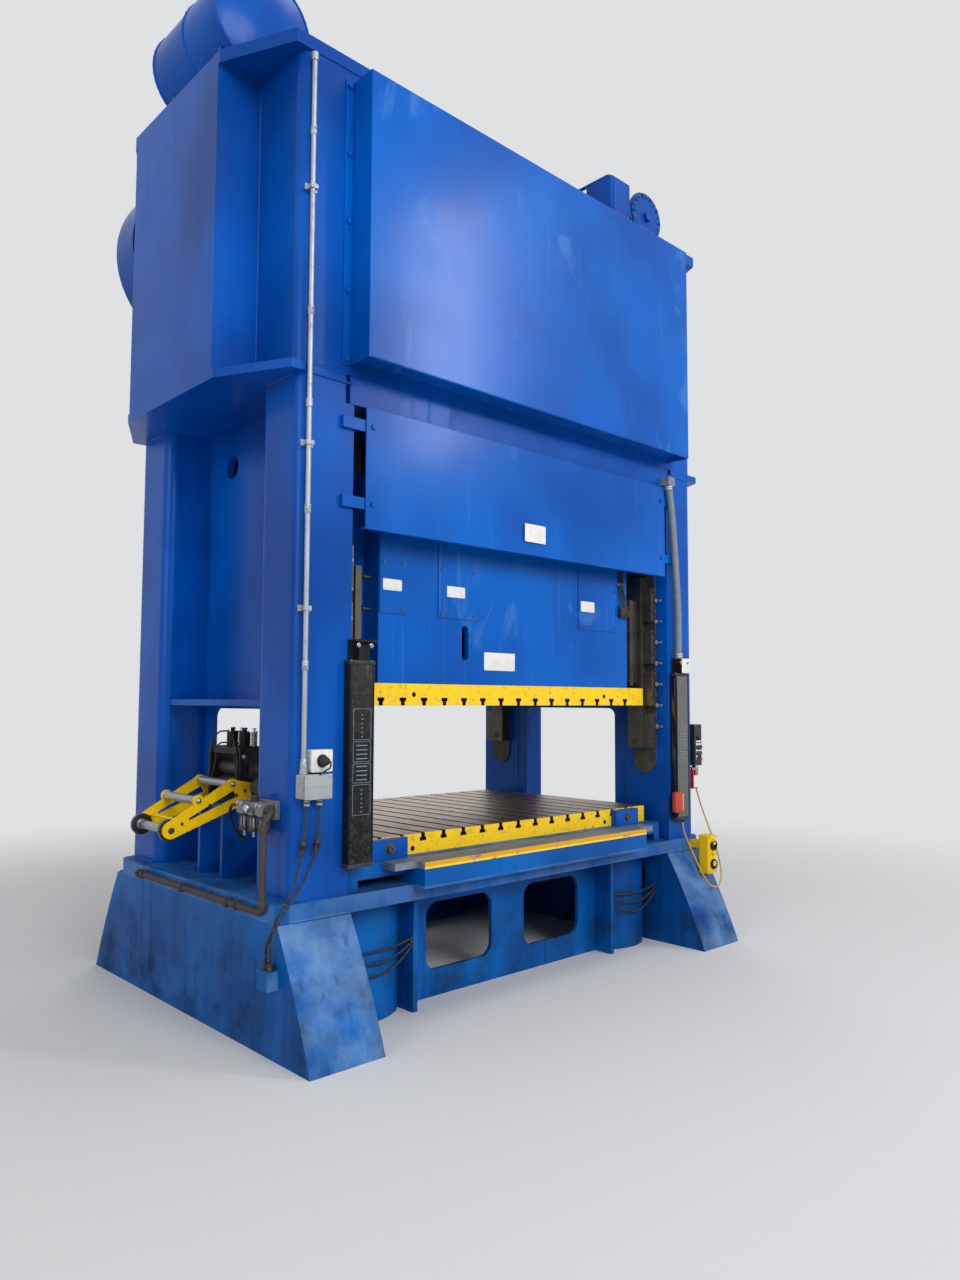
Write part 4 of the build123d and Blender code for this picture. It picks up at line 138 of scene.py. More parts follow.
class Finish:
    # one material: its node tree, its surface shader, and the helpers that draw on it
    sockets = {"base": "Base Color", "rough": "Roughness", "metal": "Metallic", "coat": "Coat Weight",
               "coatRough": "Coat Roughness", "normal": "Normal", "ior": "IOR",
               "transmission": "Transmission Weight", "level": "Specular IOR Level"}

    def __init__(self, name, **shader):
        self.material = bpy.data.materials.new(name)
        self.material.use_nodes = True
        self.tree = self.material.node_tree
        self.tree.nodes.clear()
        self.output = self.tree.nodes.new("ShaderNodeOutputMaterial")
        self.shader = self.tree.nodes.new("ShaderNodeBsdfPrincipled")
        self.tree.links.new(self.shader.outputs[0], self.output.inputs[0])
        self.put(**shader)

    def put(self, **values):
        # sets the shader's sockets by their short names
        for key, value in values.items():
            plug(self.tree, self.shader.inputs[self.sockets[key]], value)
        return self.material

    def node(self, kind, settings=None, inputs=None):
        # adds any node: its settings are set first, then its sockets by name or by number
        node = self.tree.nodes.new(kind)
        for key, value in (settings or {}).items():
            setattr(node, key, value)
        for key, value in (inputs or {}).items():
            plug(self.tree, node.inputs[key], value)
        return node

    def place(self, scale=(1, 1, 1), shift=(0, 0, 0)):
        # the object's own metres, times the scale, plus the shift
        where = self.node("ShaderNodeTexCoord").outputs["Object"]
        if tuple(scale) == (1, 1, 1) and tuple(shift) == (0, 0, 0):
            return where
        return self.node("ShaderNodeMapping", None, {"Vector": where, "Location": shift, "Scale": scale}).outputs[0]

    def split(self, socket):
        # X, Y and Z of a vector
        return [Wire(self.tree, out) for out in self.node("ShaderNodeSeparateXYZ", None, {0: socket}).outputs]

    def axes(self):
        # X, Y and Z of the place in metres
        return self.split(self.place())

    def facing(self):
        # X, Y and Z of the surface's direction
        return self.split(self.node("ShaderNodeNewGeometry").outputs["Normal"])

    def noise(self, size, detail=3.0, rough=0.55, scale=(1, 1, 1), shift=(0, 0, 0), distort=0.0):
        # size is the width of one blotch in metres
        inputs = {"Vector": self.place(scale, shift), "Scale": 1.0 / size, "Detail": detail, "Roughness": rough,
                  "Distortion": distort}
        return Wire(self.tree, self.node("ShaderNodeTexNoise", None, inputs).outputs["Fac"])

    def cells(self, size, feature="F1", scale=(1, 1, 1)):
        # size is the width of one cell in metres
        inputs = {"Vector": self.place(scale), "Scale": 1.0 / size}
        node = self.node("ShaderNodeTexVoronoi", {"feature": feature}, inputs)
        return Wire(self.tree, node.outputs["Distance"])

    def edges(self, width):
        # (1 - bevelled normal . true normal) * 6, so 1 on outer edges within this width
        bevel = self.node("ShaderNodeBevel", {"samples": 2}, {"Radius": width})
        flat = self.node("ShaderNodeNewGeometry").outputs["Normal"]
        dot = self.node("ShaderNodeVectorMath", {"operation": "DOT_PRODUCT"}, {0: bevel.outputs[0], 1: flat})
        return ((1.0 - Wire(self.tree, dot.outputs["Value"])) * 6.0).clamp()

    def mix(self, share, first, second):
        # first * (1 - share) + second * share
        settings = {"data_type": "RGBA", "blend_type": "MIX", "clamp_factor": True}
        return self.node("ShaderNodeMix", settings, {0: share, 6: first, 7: second}).outputs[2]

    def bump(self, height, strength, distance):
        # the surface's direction, tilted by the slope of the height
        inputs = {"Height": height, "Strength": strength, "Distance": distance}
        return self.node("ShaderNodeBump", None, inputs).outputs[0]


def tone(red, green, blue):
    # a colour given as it looks on a screen, 0 to 255, made linear
    parts = [c / 255.0 for c in (red, green, blue)]
    return tuple(c / 12.92 if c <= 0.04045 else ((c + 0.055) / 1.055) ** 2.4 for c in parts)


def lighter(colour, times=1.7, more=0.02):
    # each part of the colour times a factor plus a little, 1 at most
    return tuple(min(1.0, c * times + more) for c in colour)


def enamelTones(front, deep, dust, grime, chip):
    # an enamel's colours: fresh, drifted deeper, dusty, dirty and chipped
    return {"front": tone(*front), "deep": tone(*deep), "dust": tone(*dust), "grime": tone(*grime),
            "chip": tone(*chip)}


blueGrime, blueChip = (14, 22, 36), (56, 58, 62)
blueEnamel = enamelTones((0, 86, 182), (0, 58, 136), (52, 108, 172), blueGrime, blueChip)
coverEnamel = enamelTones((0, 94, 190), (0, 68, 152), (84, 146, 204), blueGrime, blueChip)
bedEnamel = enamelTones((0, 100, 182), (0, 66, 136), (80, 136, 186), blueGrime, blueChip)
yellowEnamel = enamelTones((250, 206, 8), (232, 178, 4), (240, 216, 110), (58, 46, 16), (70, 62, 50))
blackEnamel = enamelTones((30, 30, 32), (18, 18, 20), (88, 85, 80), (9, 9, 9), (92, 90, 86))
greyEnamel = enamelTones((168, 172, 176), (148, 152, 157), (190, 188, 182), (66, 64, 60), (104, 102, 98))


def enamel(name, colours, rough, coat, grime, dust, wear, stain=0.0, extra=None):
    # slow colour drift, run marks, dust on ledges, grime low down, chipped edges, orange peel and stains
    f = Finish(name, coatRough=0.12, level=0.13)
    x, y, z = f.axes()
    up = f.facing()[2]
    drift = f.noise(0.9, 2.0, 0.5)
    cloud = f.noise(0.22, 5.0, 0.6, shift=(3.1, 1.7, 0.4))
    run = f.noise(0.045, 3.0, 0.5, scale=(1, 1, 0.05), shift=(0.3, 0.9, 0))
    speck = f.noise(0.006, 2.0, 0.6)
    edge = f.edges(0.006)
    chips = (edge * f.noise(0.02, 4.0, 0.7).step(0.46, 0.62) * wear).clamp()
    low = z.step(0.9, 0.0)
    ledge = up.step(0.6, 0.95)
    dirt = (run.step(0.54, 0.8) * 0.4 + cloud.step(0.54, 0.78) * 0.25) * grime
    dirt = (dirt + low * cloud.step(0.3, 0.7) * grime * 0.7 + ledge * cloud.step(0.35, 0.65) * grime * 0.6).clamp()
    haze = ((cloud.step(0.56, 0.76) * 0.3 + ledge * 0.6) * dust).clamp()
    colour = f.mix(drift.step(0.35, 0.7) * 0.8, colours["front"], colours["deep"])
    if stain:
        patch = f.noise(0.42, 4.0, 0.62, scale=(1, 1, 0.55), shift=(5.2, 0, 2.4), distort=0.7).step(0.58, 0.68)
        drip = f.noise(0.03, 2.0, 0.5, scale=(1, 1, 0.03), shift=(8.1, 0, 0)).step(0.62, 0.8)
        colour = f.mix((patch * stain + drip * stain * 0.6).clamp(), colour, colours["dust"])
    colour = f.mix(haze, colour, colours["dust"])
    if extra:
        colour = extra(f, colour, x, y, z)
    colour = f.mix(dirt, colour, colours["grime"])
    colour = f.mix(chips, colour, colours["chip"])
    rough = (rough + cloud * 0.1 + dirt * 0.35 + haze * 0.3 + chips * 0.3 - 0.04).clamp()
    coat = (coat - dirt * 0.5 - chips * 0.6 - haze * 0.3).clamp()
    height = f.noise(0.004, 2.0, 0.5) * 0.35 + f.noise(0.05, 2.0, 0.5) * 0.21 - chips * 1.5 + speck * 0.15
    return f.put(base=colour, rough=rough, coat=coat, normal=f.bump(height, 0.25, 0.0012))


# painted highlight: where the bed's front faces are painted pale for the light they catch, in metres, and what share of
# the pale tone they get there
bedSheenBands = {"low": 0.623, "high": 0.712, "flange": 0.16, "foot": 0.34, "footEdge": 1.34, "tone": tone(150, 186, 214)}


def bedPaintedSheen(f, colour, x, y, z):
    # painted highlight: the flange's edge and the front panels of the feet are painted pale for the light they catch,
    # broken up by noise
    low, high, inner = bedSheenBands["low"], bedSheenBands["high"], bedSheenBands["footEdge"]
    sheenBreak = f.noise(0.3, 4.0, 0.6, shift=(2, 5, 1)).step(0.3, 0.65)
    flange = z.step(low - 0.004, low) * z.step(high + 0.004, high)
    flange = flange * y.size().step(0.93, 0.94).most(x.size().step(1.755, 1.765))
    foot = x.size().step(inner, inner + 0.02) * f.facing()[1].size().step(0.3, 0.6)
    foot = foot * z.step(0.64, 0.62)
    pale = flange * bedSheenBands["flange"] * sheenBreak + foot * bedSheenBands["foot"] * sheenBreak
    return f.mix(pale.clamp(), colour, bedSheenBands["tone"])


# the gib pads are the only faces of the uprights nearer to the middle than this, in metres
padReach = 1.3592


def padMarks(f, colour, x, y, z):
    # the pads under the gib rails are bare, oily steel
    pad = x.size().step(padReach + 0.0004, padReach)
    steel = f.mix(f.noise(0.06, 4.0, 0.6, shift=(4, 4, 1)), tone(96, 90, 76), tone(46, 44, 38))
    return f.mix(pad, colour, steel)


def wornSteel(name, tones, rough, brush, oil, scratch, metal, extra=None):
    # brushed grain, oil film, scratches, a little brown, bright edges
    base, dark, rust = (tone(*given) for given in tones)
    f = Finish(name, level=0.5)
    grain = f.noise(0.012, 4.0, 0.6, scale=brush)
    cloud = f.noise(0.16, 5.0, 0.6, shift=(1.3, 4.1, 2.2))
    blot = f.noise(0.05, 4.0, 0.65, shift=(7, 2, 1))
    scrape = f.cells(0.05, "DISTANCE_TO_EDGE", scale=(1, 0.25, 1)).step(0.03, 0.0) * scratch
    edge = f.edges(0.004)
    oily = cloud.step(0.42, 0.66) * oil
    brown = blot.step(0.56, 0.74) * 0.6
    colour = f.mix(grain * 0.6, base, dark)
    colour = f.mix(oily, colour, dark)
    colour = f.mix(brown, colour, rust)
    colour = f.mix((scrape * 0.5 + edge * 0.5).clamp(), colour, lighter(base))
    metallic = (metal - oily * 0.3 - brown * 0.6).clamp()
    if extra:
        colour, metallic = extra(f, colour, metallic, edge)
    return f.put(base=colour, metal=metallic, rough=(rough + grain * 0.18 - oily * 0.12 + brown * 0.3).clamp(),
                 normal=f.bump(grain * 0.4 - scrape * 0.6 + blot * 0.25, 0.3, 0.0008))


def covered(f, paint, colour, metallic, over):
    # paint laid over steel by this share: it hides the colour and takes the metal's shine away
    return f.mix(paint, colour, over), metallic * (1.0 - paint)


# how far the yellow paint reaches on the bolster, the slide plate and the ledge
yellowFace = {"depth": 0.7893, "side": 1.2743, "chip": 0.55, "ledgeFront": 1.0445, "ledgeLow": 0.811}


def yellowFront(f, colour, metallic, edge):
    # bolster and slide plate: yellow on the outer faces, worn off at edges, steel elsewhere
    x, y, z = f.axes()
    outer = y.size().step(yellowFace["depth"] - 0.0006, yellowFace["depth"])
    worn = f.noise(0.035, 5.0, 0.7, shift=(4, 1, 9)).step(yellowFace["chip"], yellowFace["chip"] + 0.12)
    worn = (worn * 0.55 + edge * f.noise(0.02, 3.0).step(0.42, 0.6)).clamp()
    paint = outer * (1.0 - worn)
    yellow = f.mix(f.noise(0.09, 4.0, 0.6).step(0.4, 0.8) * 0.5, yellowEnamel["front"], yellowEnamel["deep"])
    streak = f.noise(0.02, 4.0, 0.6, scale=(1, 1, 0.2), shift=(6, 0, 0)).step(0.6, 0.8) * 0.5
    return covered(f, paint, colour, metallic, f.mix(streak, yellow, tone(120, 92, 24)))


def plateSides(f, colour, metallic, edge):
    # slide plate: the short ends are yellow too
    colour, metallic = yellowFront(f, colour, metallic, edge)
    ends = f.axes()[0].size().step(yellowFace["side"] - 0.0006, yellowFace["side"])
    return covered(f, ends, colour, metallic, yellowEnamel["front"])


# the low support roller's axis, and the radius past which its flanges are black, in metres
rollerFlange = {"x": -1.96, "z": 1.007, "radius": 0.028}


def flangeBlack(f, colour, metallic, edge):
    # distance from the axis = ((x - x0)^2 + (z - z0)^2)^0.5; black past the flange's inner radius
    x, y, z = f.axes()
    across, up = x - rollerFlange["x"], z - rollerFlange["z"]
    far = (across * across + up * up).root().step(rollerFlange["radius"], rollerFlange["radius"] + 0.001)
    return covered(f, far * (1.0 - edge * 0.6), colour, metallic, blackEnamel["front"])


def ledgeFront(f, colour, metallic, edge):
    # yellow over the ledge's front edge, duller above and chipped here and there
    x, y, z = f.axes()
    front = y.size().step(yellowFace["ledgeFront"] - 0.001, yellowFace["ledgeFront"])
    chips = f.noise(0.05, 5.0, 0.7, scale=(0.5, 1, 1), shift=(3, 3, 3)).step(0.58, 0.64) * 0.8
    paint = front * (1.0 - chips)
    dull = z.step(yellowFace["ledgeLow"], yellowFace["ledgeLow"] + 0.004)
    return covered(f, paint, colour, metallic, f.mix(dull, yellowEnamel["front"], tone(214, 158, 10)))


def plastic(name, base, dark, rough, pebble, dusty):
    # fine pebble, dust in the hollows, rubbed edges
    base, dark = tone(*base), tone(*dark)
    f = Finish(name, level=0.45)
    pebbles = f.cells(0.0016)
    cloud = f.noise(0.04, 4.0, 0.6)
    edge = f.edges(0.003)
    colour = f.mix(cloud.step(0.4, 0.75) * 0.5, base, dark)
    colour = f.mix(f.noise(0.012, 3.0, 0.6, shift=(2, 3, 1)).step(0.5, 0.75) * dusty, colour, tone(128, 124, 116))
    return f.put(base=f.mix(edge * 0.35, colour, lighter(base, 1.5)), rough=(rough + cloud * 0.2 - edge * 0.12).clamp(),
                 normal=f.bump(pebbles * pebble + cloud * 0.2, 0.2, 0.0005))


def clearBowl(name):
    # a clear plastic bowl: smoky, scratched round its waist, with a little water and oil at the bottom
    f = Finish(name, transmission=0.72, ior=1.49, level=0.5)
    z = f.axes()[2]
    cloud = f.noise(0.02, 4.0, 0.6)
    film = z.step(1.062, 1.052)
    colour = f.mix(cloud * 0.3, tone(228, 232, 230), tone(196, 200, 196))
    return f.put(base=f.mix(film * 0.7, colour, tone(176, 150, 86)),
                 rough=(0.1 + cloud * 0.14 + f.noise(0.002, 2.0, scale=(1, 1, 6)) * 0.08).clamp(),
                 normal=f.bump(cloud * 0.4, 0.1, 0.0004))


def lens(name):
    # dark glossy window with faint wiped smears
    f = Finish(name, coat=0.8, coatRough=0.05, level=0.5)
    smear = f.noise(0.05, 4.0, 0.6, scale=(1, 1, 0.2))
    return f.put(base=f.mix(smear.step(0.5, 0.8) * 0.4, tone(20, 10, 14), tone(64, 52, 54)),
                 rough=(0.08 + smear * 0.2).clamp(), normal=f.bump(smear, 0.05, 0.0004))


brightSteel = ((176, 178, 182), (112, 114, 118), (120, 96, 76))
# the record's slot, the maker and the name of each finish; then an enamel's colours, roughness, coat, grime, dust
# and wear, a steel's three tones, roughness, brush, oil, scratch and metal, or a plastic's two tones and the rest
finishRows = {
    "pressBlue": ("press_blue", enamel, "press blue enamel", blueEnamel, 0.28, 0.05, 0.32, 0.14, 0.5),
    "uprightBlue": ("press_blue", enamel, "upright blue enamel", blueEnamel, 0.28, 0.05, 0.32, 0.14, 0.5, 0.0,
                    padMarks),
    "coverBlue": ("press_blue", enamel, "cover blue enamel", coverEnamel, 0.22, 0.08, 0.12, 0.1, 0.3, 0.3),
    # the bed's enamel carries a painted highlight: pale flange edge and foot front panels
    "bedBlue": ("bed_blue", enamel, "bed blue enamel", bedEnamel, 0.34, 0.05, 0.8, 0.4, 0.8, 0.0, bedPaintedSheen),
    "yellowPaint": ("safety_yellow", enamel, "yellow paint", yellowEnamel, 0.34, 0.2, 0.5, 0.12, 0.9),
    "blackPaint": ("black_paint", enamel, "black paint", blackEnamel, 0.42, 0.1, 0.3, 0.35, 0.5),
    "greyBox": ("grey_box", enamel, "grey box paint", greyEnamel, 0.4, 0.15, 0.35, 0.2, 0.4),
    "bolsterTop": ("bolster_steel", wornSteel, "oily bolster steel", ((128, 104, 80), (58, 44, 32), (104, 70, 40)),
                   0.34, (1, 0.08, 1), 0.6, 0.5, 0.9, yellowFront),
    "slidePlate": ("bolster_steel", wornSteel, "slide plate steel", ((120, 116, 110), (58, 54, 50), (90, 66, 44)),
                   0.34, (0.1, 1, 1), 0.5, 0.4, 0.9, plateSides),
    "gibSteel": ("dark_steel", wornSteel, "greased gib steel", ((104, 99, 91), (44, 42, 39), (76, 60, 46)), 0.4,
                 (1, 1, 0.06), 0.6, 0.25, 0.75),
    "lowRoller": ("machined_steel", wornSteel, "flanged roller steel", brightSteel, 0.28, (1, 0.1, 1), 0.2, 0.3, 0.9,
                  flangeBlack),
    "groundSteel": ("machined_steel", wornSteel, "ground steel", brightSteel, 0.26, (0.1, 1, 1), 0.2, 0.3, 0.9),
    "gearIron": ("gear_iron", wornSteel, "greased gear iron", ((78, 78, 80), (36, 36, 37), (66, 50, 38)), 0.42,
                 (1, 1, 1), 0.6, 0.1, 0.8),
    "bronze": ("bush_bronze", wornSteel, "bearing bronze", ((190, 150, 88), (126, 94, 50), (92, 66, 40)), 0.32,
               (1, 0.1, 1), 0.3, 0.1, 0.9),
    "galvanised": ("galvanised", wornSteel, "galvanised conduit", ((168, 174, 182), (122, 130, 140), (120, 108, 96)),
                   0.42, (1, 1, 0.1), 0.12, 0.15, 0.9),
    "airMetal": ("machined_steel", wornSteel, "air unit metal", ((150, 152, 156), (74, 76, 80), (92, 84, 74)), 0.46,
                 (1, 1, 1), 0.5, 0.2, 0.55),
    "rustyPipe": ("dark_steel", wornSteel, "old iron pipe", ((80, 72, 68), (40, 36, 34), (96, 64, 42)), 0.6,
                  (1, 1, 1), 0.4, 0.1, 0.45),
    "wornLedge": ("worn_ledge", wornSteel, "worn painted ledge", ((134, 142, 152), (66, 80, 104), (78, 70, 60)), 0.44,
                  (0.15, 1, 1), 0.5, 0.8, 0.4, ledgeFront),
    "whitePlastic": ("white_plastic", plastic, "white plastic", (222, 222, 216), (200, 200, 194), 0.4, 0.2, 0.12),
    "paleLabel": ("white_plastic", plastic, "bare pale plate", (226, 226, 220), (206, 205, 198), 0.5, 0.1, 0.18),
    "controlBlack": ("control_black", plastic, "control black plastic", (34, 34, 37), (20, 20, 22), 0.45, 0.5, 0.25),
    "cordBlack": ("black_cord", plastic, "black cord jacket", (30, 30, 31), (18, 18, 19), 0.55, 0.3, 0.3),
    "cordTan": ("yellow_cord", plastic, "tan cord jacket", (190, 152, 66), (152, 118, 50), 0.5, 0.3, 0.4),
    "greyHose": ("grey_box", plastic, "grey hose jacket", (116, 128, 138), (90, 101, 112), 0.42, 0.2, 0.2),
    # painted reflection: the right curtain's black plate, painted dark grey for the light it reflects
    "greyPlate": ("grey_box", plastic, "dark grey plate", (94, 95, 93), (72, 73, 72), 0.45, 0.2, 0.2),
    "markerOrange": ("marker_orange", plastic, "marker orange plastic", (180, 60, 26), (142, 42, 16), 0.35, 0.2, 0.1),
    "lockRed": ("lock_red", plastic, "lock red plastic", (206, 24, 30), (160, 12, 18), 0.32, 0.2, 0.1),
    "buttonGreen": ("control_black", plastic, "button green plastic", (24, 128, 60), (12, 88, 40), 0.32, 0.2, 0.1),
    "beltRubber": ("belt_rubber", plastic, "belt rubber", (26, 26, 26), (15, 15, 15), 0.62, 0.8, 0.4),
    "clearBowl": ("bowl_clear", clearBowl, "clear bowl"),
    "lens": ("control_black", lens, "dark lens"),
}
finishes = {key: make(*values) for key, (_, make, *values) in finishRows.items()}
print("finishes made:", len(finishes))

# the CAD pieces that wear each finish
nodeFinish = {
    "bedBlue": "bed",
    "wornLedge": "bed_ledge",
    "bolsterTop": "bolster",
    "slidePlate": "slide_plate",
    "uprightBlue": "left_upright right_upright",
    "pressBlue": "bolster_clamps crown main_motor flywheel_guard surge_tank pump_drum pump_box feeder_stand",
    "coverBlue": "gear_cover slide_guard slide_body slide_covers",
    "groundSteel": "tie_rods balance_cylinders left_crankshaft right_crankshaft drive_shaft adjusting_screws "
                   "balance_rods mid_support_roller top_support_roller",
    "lowRoller": "low_support_roller",
    "gibSteel": "tie_rod_nuts gib_rails slide_bars lower_feed_roll upper_feed_roll",
    "gearIron": "left_main_gear right_main_gear left_connecting_rod right_connecting_rod clutch flywheel motor_pulley",
    "bronze": "shaft_bushes",
    "beltRubber": "drive_belts",
    "blackPaint": "light_curtains feeder_frame",
    "galvanised": "left_conduit",
    "greyHose": "right_conduit",
    "rustyPipe": "air_pipe",
    "greyBox": "junction_box",
    "airMetal": "air_unit",
    "whitePlastic": "outlet",
    "markerOrange": "marker_strip",
    "controlBlack": "control_unit air_knob",
    "lockRed": "lock_block",
    "yellowPaint": "hand_box feeder_arms",
    "clearBowl": "air_bowls",
}
for finishName, names in nodeFinish.items():
    for name in names.split():
        mesh = nodes[name].data
        mesh.materials.clear()
        mesh.materials.append(finishes[finishName])
print("nodes dressed:", sum(len(names.split()) for names in nodeFinish.values()))


# A form is a pair: points (n, 3) in metres, and a list of face arrays (m, corners).

def loft(rings):
    # rings (n, m, 3): four-sided walls between neighbouring rings, and a flat cap on each end
    count, around = rings.shape[:2]
    low = (np.arange(count - 1) * around)[:, None]
    here = np.arange(around)[None, :]
    there = (here + 1) % around
    walls = np.stack([low + here, low + there, low + around + there, low + around + here], axis=-1)
    caps = np.stack([np.arange(around)[::-1], (count - 1) * around + np.arange(around)])
    return rings.reshape(-1, 3), [walls.reshape(-1, 4), caps]


def turned(profile, sides=24, size=1.0):
    # each (radius, height) of the profile is one ring about +Z, its radius multiplied by the size
    radius, height = (np.array(profile, float) * (size, 1)).T
    angle = np.arange(sides) * 2 * np.pi / sides
    rings = np.empty((len(radius), sides, 3))
    rings[..., 0] = radius[:, None] * np.cos(angle)
    rings[..., 1] = radius[:, None] * np.sin(angle)
    rings[..., 2] = height[:, None]
    return loft(rings)


def slab(width, depth, height, corner=0.004, soft=0.0015, steps=4):
    # a rounded rectangle on +Z, its rim drawn in by the soft edge at both ends
    corner = max(min(corner, width / 2 - 1e-5, depth / 2 - 1e-5), soft * 1.2)
    levels = np.array([(soft, 0), (0.3 * soft, 0.3 * soft), (0, soft), (0, height - soft),
                       (0.3 * soft, height - 0.3 * soft), (soft, height)])
    angle = (np.arange(steps + 1) / steps * np.pi / 2)[None, :] + (np.arange(4) * np.pi / 2)[:, None]
    middle = np.array([(1, 1), (-1, 1), (-1, -1), (1, -1)]) * ((width / 2 - corner), (depth / 2 - corner))
    centre = np.repeat(middle, steps + 1, axis=0)
    way = np.column_stack([np.cos(angle.ravel()), np.sin(angle.ravel())])
    rings = np.empty((len(levels), len(way), 3))
    rings[..., :2] = centre + way * (corner - levels[:, 0])[:, None, None]
    rings[..., 2] = levels[:, 1][:, None]
    return loft(rings)


def gather(*forms):
    # joins forms into one; each form's faces are counted on from the points before it
    points, sets, start = [], [], 0
    for form in forms:
        points.append(form[0])
        sets += [faces + start for faces in form[1]]
        start += len(form[0])
    return np.concatenate(points), sets


def grid(*axes):
    # every combination of the values given for X, Y and Z
    return np.stack(np.meshgrid(*axes, indexing="ij"), axis=-1).reshape(-1, 3)


# the form's own X, Y and Z for each way that its +Z may point
frames = {
    "z": ((1, 0, 0), (0, 1, 0), (0, 0, 1)),
    "-z": ((1, 0, 0), (0, -1, 0), (0, 0, -1)),
    "y": ((-1, 0, 0), (0, 0, 1), (0, 1, 0)),
    "-y": ((1, 0, 0), (0, 0, 1), (0, -1, 0)),
    "x": ((0, 1, 0), (0, 0, 1), (1, 0, 0)),
    "-x": ((0, -1, 0), (0, 0, 1), (-1, 0, 0)),
}


def copies(spread, sets, count, size):
    # the faces repeated for each copy, counted on by the form's size
    offset = (np.arange(count) * size)[:, None, None]
    return spread.reshape(-1, 3), [(faces[None] + offset).reshape(-1, faces.shape[1]) for faces in sets]


def stamp(form, places, way="z"):
    # one copy of the form at each place: point = place + x * X + y * Y + z * Z
    points, sets = form
    places = np.atleast_2d(np.asarray(places, float))
    spread = places[:, None, :] + (points @ np.array(frames[way], float))[None]
    return copies(spread, sets, len(places), len(points))


def put(form, x, y, z, way="-y"):
    # stamped at every combination of the values
    return stamp(form, grid(x, y, z), way)


def bothFaces(form, x, y, z):
    # put on a front face at -y, facing forward, and on a back face at y, facing backward
    return gather(put(form, x, -y, z), put(form, x, y, z, "y"))


def turnAbout(form, centre, axis, count, span=360, start=0):
    # copies of a form turned about an axis, "y" or "z", through even shares of the span in degrees
    points, sets = form
    centre = np.asarray(centre, float)
    angle = np.radians(start + np.arange(count) * span / count)
    cosine, sine, none, one = np.cos(angle), np.sin(angle), np.zeros(count), np.ones(count)
    if axis == "y":
        turn = np.array([[cosine, none, sine], [none, one, none], [-sine, none, cosine]])
    else:
        turn = np.array([[cosine, -sine, none], [sine, cosine, none], [none, none, one]])
    return copies(np.einsum("ijn,pj->npi", turn, points - centre) + centre, sets, count, len(points))


def flowing(points, steps=8):
    # a Catmull-Rom curve through the points: 0.5 (2b + (c-a) t + (2a-5b+4c-d) t^2 + (3b-a-3c+d) t^3)
    points = np.asarray(points, float)
    points = np.vstack([2 * points[0] - points[1], points, 2 * points[-1] - points[-2]])
    t = np.linspace(0, 1, steps, endpoint=False)[None, :, None]
    a, b, c, d = (points[k:len(points) - 3 + k][:, None] for k in range(4))
    curve = 0.5 * (2 * b + (c - a) * t + (2 * a - 5 * b + 4 * c - d) * t ** 2 + (3 * b - a - 3 * c + d) * t ** 3)
    return np.vstack([curve.reshape(-1, 3), points[-2]])


def unit(vectors):
    # each vector divided by its length
    return vectors / np.linalg.norm(vectors, axis=1)[:, None]


def tube(path, ahead, side, radius, sides):
    # circles along the path: point = path + radius * (cos a * side + sin a * ahead x side)
    angle = (np.arange(sides) * 2 * np.pi / sides)[None, :, None]
    radius = np.broadcast_to(radius, len(path))[:, None, None]
    lift = np.cross(ahead, side)[:, None]
    return loft(path[:, None] + radius * (np.cos(angle) * side[:, None] + np.sin(angle) * lift))


def sweep(path, radius, sides=10):
    # a tube whose circles' plane holds the direction in which the path varies least
    path = np.asarray(path, float)
    ahead = unit(np.gradient(path, axis=0))
    middle = path - path.mean(axis=0)
    least = np.linalg.eigh(middle.T @ middle)[1][:, 0]
    return tube(path, ahead, unit(np.cross(least, ahead)), radius, sides)


def spring(radius, wire, length, turns):
    # a helix of 18 steps a turn: (radius cos a, radius sin a, share * length)
    share = np.linspace(0, 1, turns * 18)
    angle = share * turns * 2 * np.pi
    side = np.column_stack([np.cos(angle), np.sin(angle), np.zeros(len(angle))])
    path = radius * side + share[:, None] * (0, 0, length)
    return tube(path, unit(np.gradient(path, axis=0)), side, wire, 8)


def hexHead(across, height):
    # a six-sided head on a washer, its top rim turned off
    corner = across / math.sqrt(3)
    washer = turned([(across * 0.62, 0), (across * 0.66, height * 0.06), (across * 0.66, height * 0.16),
                     (across * 0.62, height * 0.2)], 20)
    return gather(washer, turned([(corner, height * 0.2), (corner, height * 0.88), (corner * 0.88, height)], 6))


def socketHead(radius, height):
    # a round cap screw, hollow in the middle
    return turned([(radius, 0), (radius, height * 0.88), (radius * 0.9, height), (radius * 0.56, height),
                   (radius * 0.5, height * 0.94), (radius * 0.46, height * 0.45)], 18)


def stud(radius, length, nut):
    # a threaded rod with a nut on it: the rod's radius rises and falls with each turn of the thread
    turns = np.arange(0, length, radius * 0.2)
    thread = np.column_stack([radius * (1 - 0.06 * (np.arange(len(turns)) % 2)), turns])
    return gather(turned(thread, 14), stamp(hexHead(nut, nut * 0.45), (0, 0, length * 0.18)))


def weldBead(start, end, width, pitch=0.012):
    # a straight run: radius = width * (1 + 0.16 sin(2 pi distance / pitch)), drawn in at both ends
    start, end = np.asarray(start, float), np.asarray(end, float)
    length = np.linalg.norm(end - start)
    share = np.linspace(0, 1, max(int(length / pitch * 3), 6))
    ripple = 1 + 0.16 * np.sin(2 * np.pi * share * length / pitch)
    closing = np.minimum(1, np.minimum(share, 1 - share) * length / width + 0.35)
    return sweep(start + share[:, None] * (end - start), width * ripple * closing, 6)


def own(made, body):
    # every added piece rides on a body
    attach(made, body)
    return made


def piece(name, finish, *forms, body="frame", sharp=40):
    # one object at the origin from its forms, smooth but for edges sharper than this angle
    points, sets = gather(*forms)
    mesh = bpy.data.meshes.new(name)
    mesh.from_pydata(points.tolist(), [], [face for faces in sets for face in faces.tolist()])
    mesh.polygons.foreach_set("use_smooth", np.ones(len(mesh.polygons), bool))
    mesh.set_sharp_from_angle(angle=math.radians(sharp))
    mesh.materials.append(finishes[finish])
    return own(link(name, mesh), body)


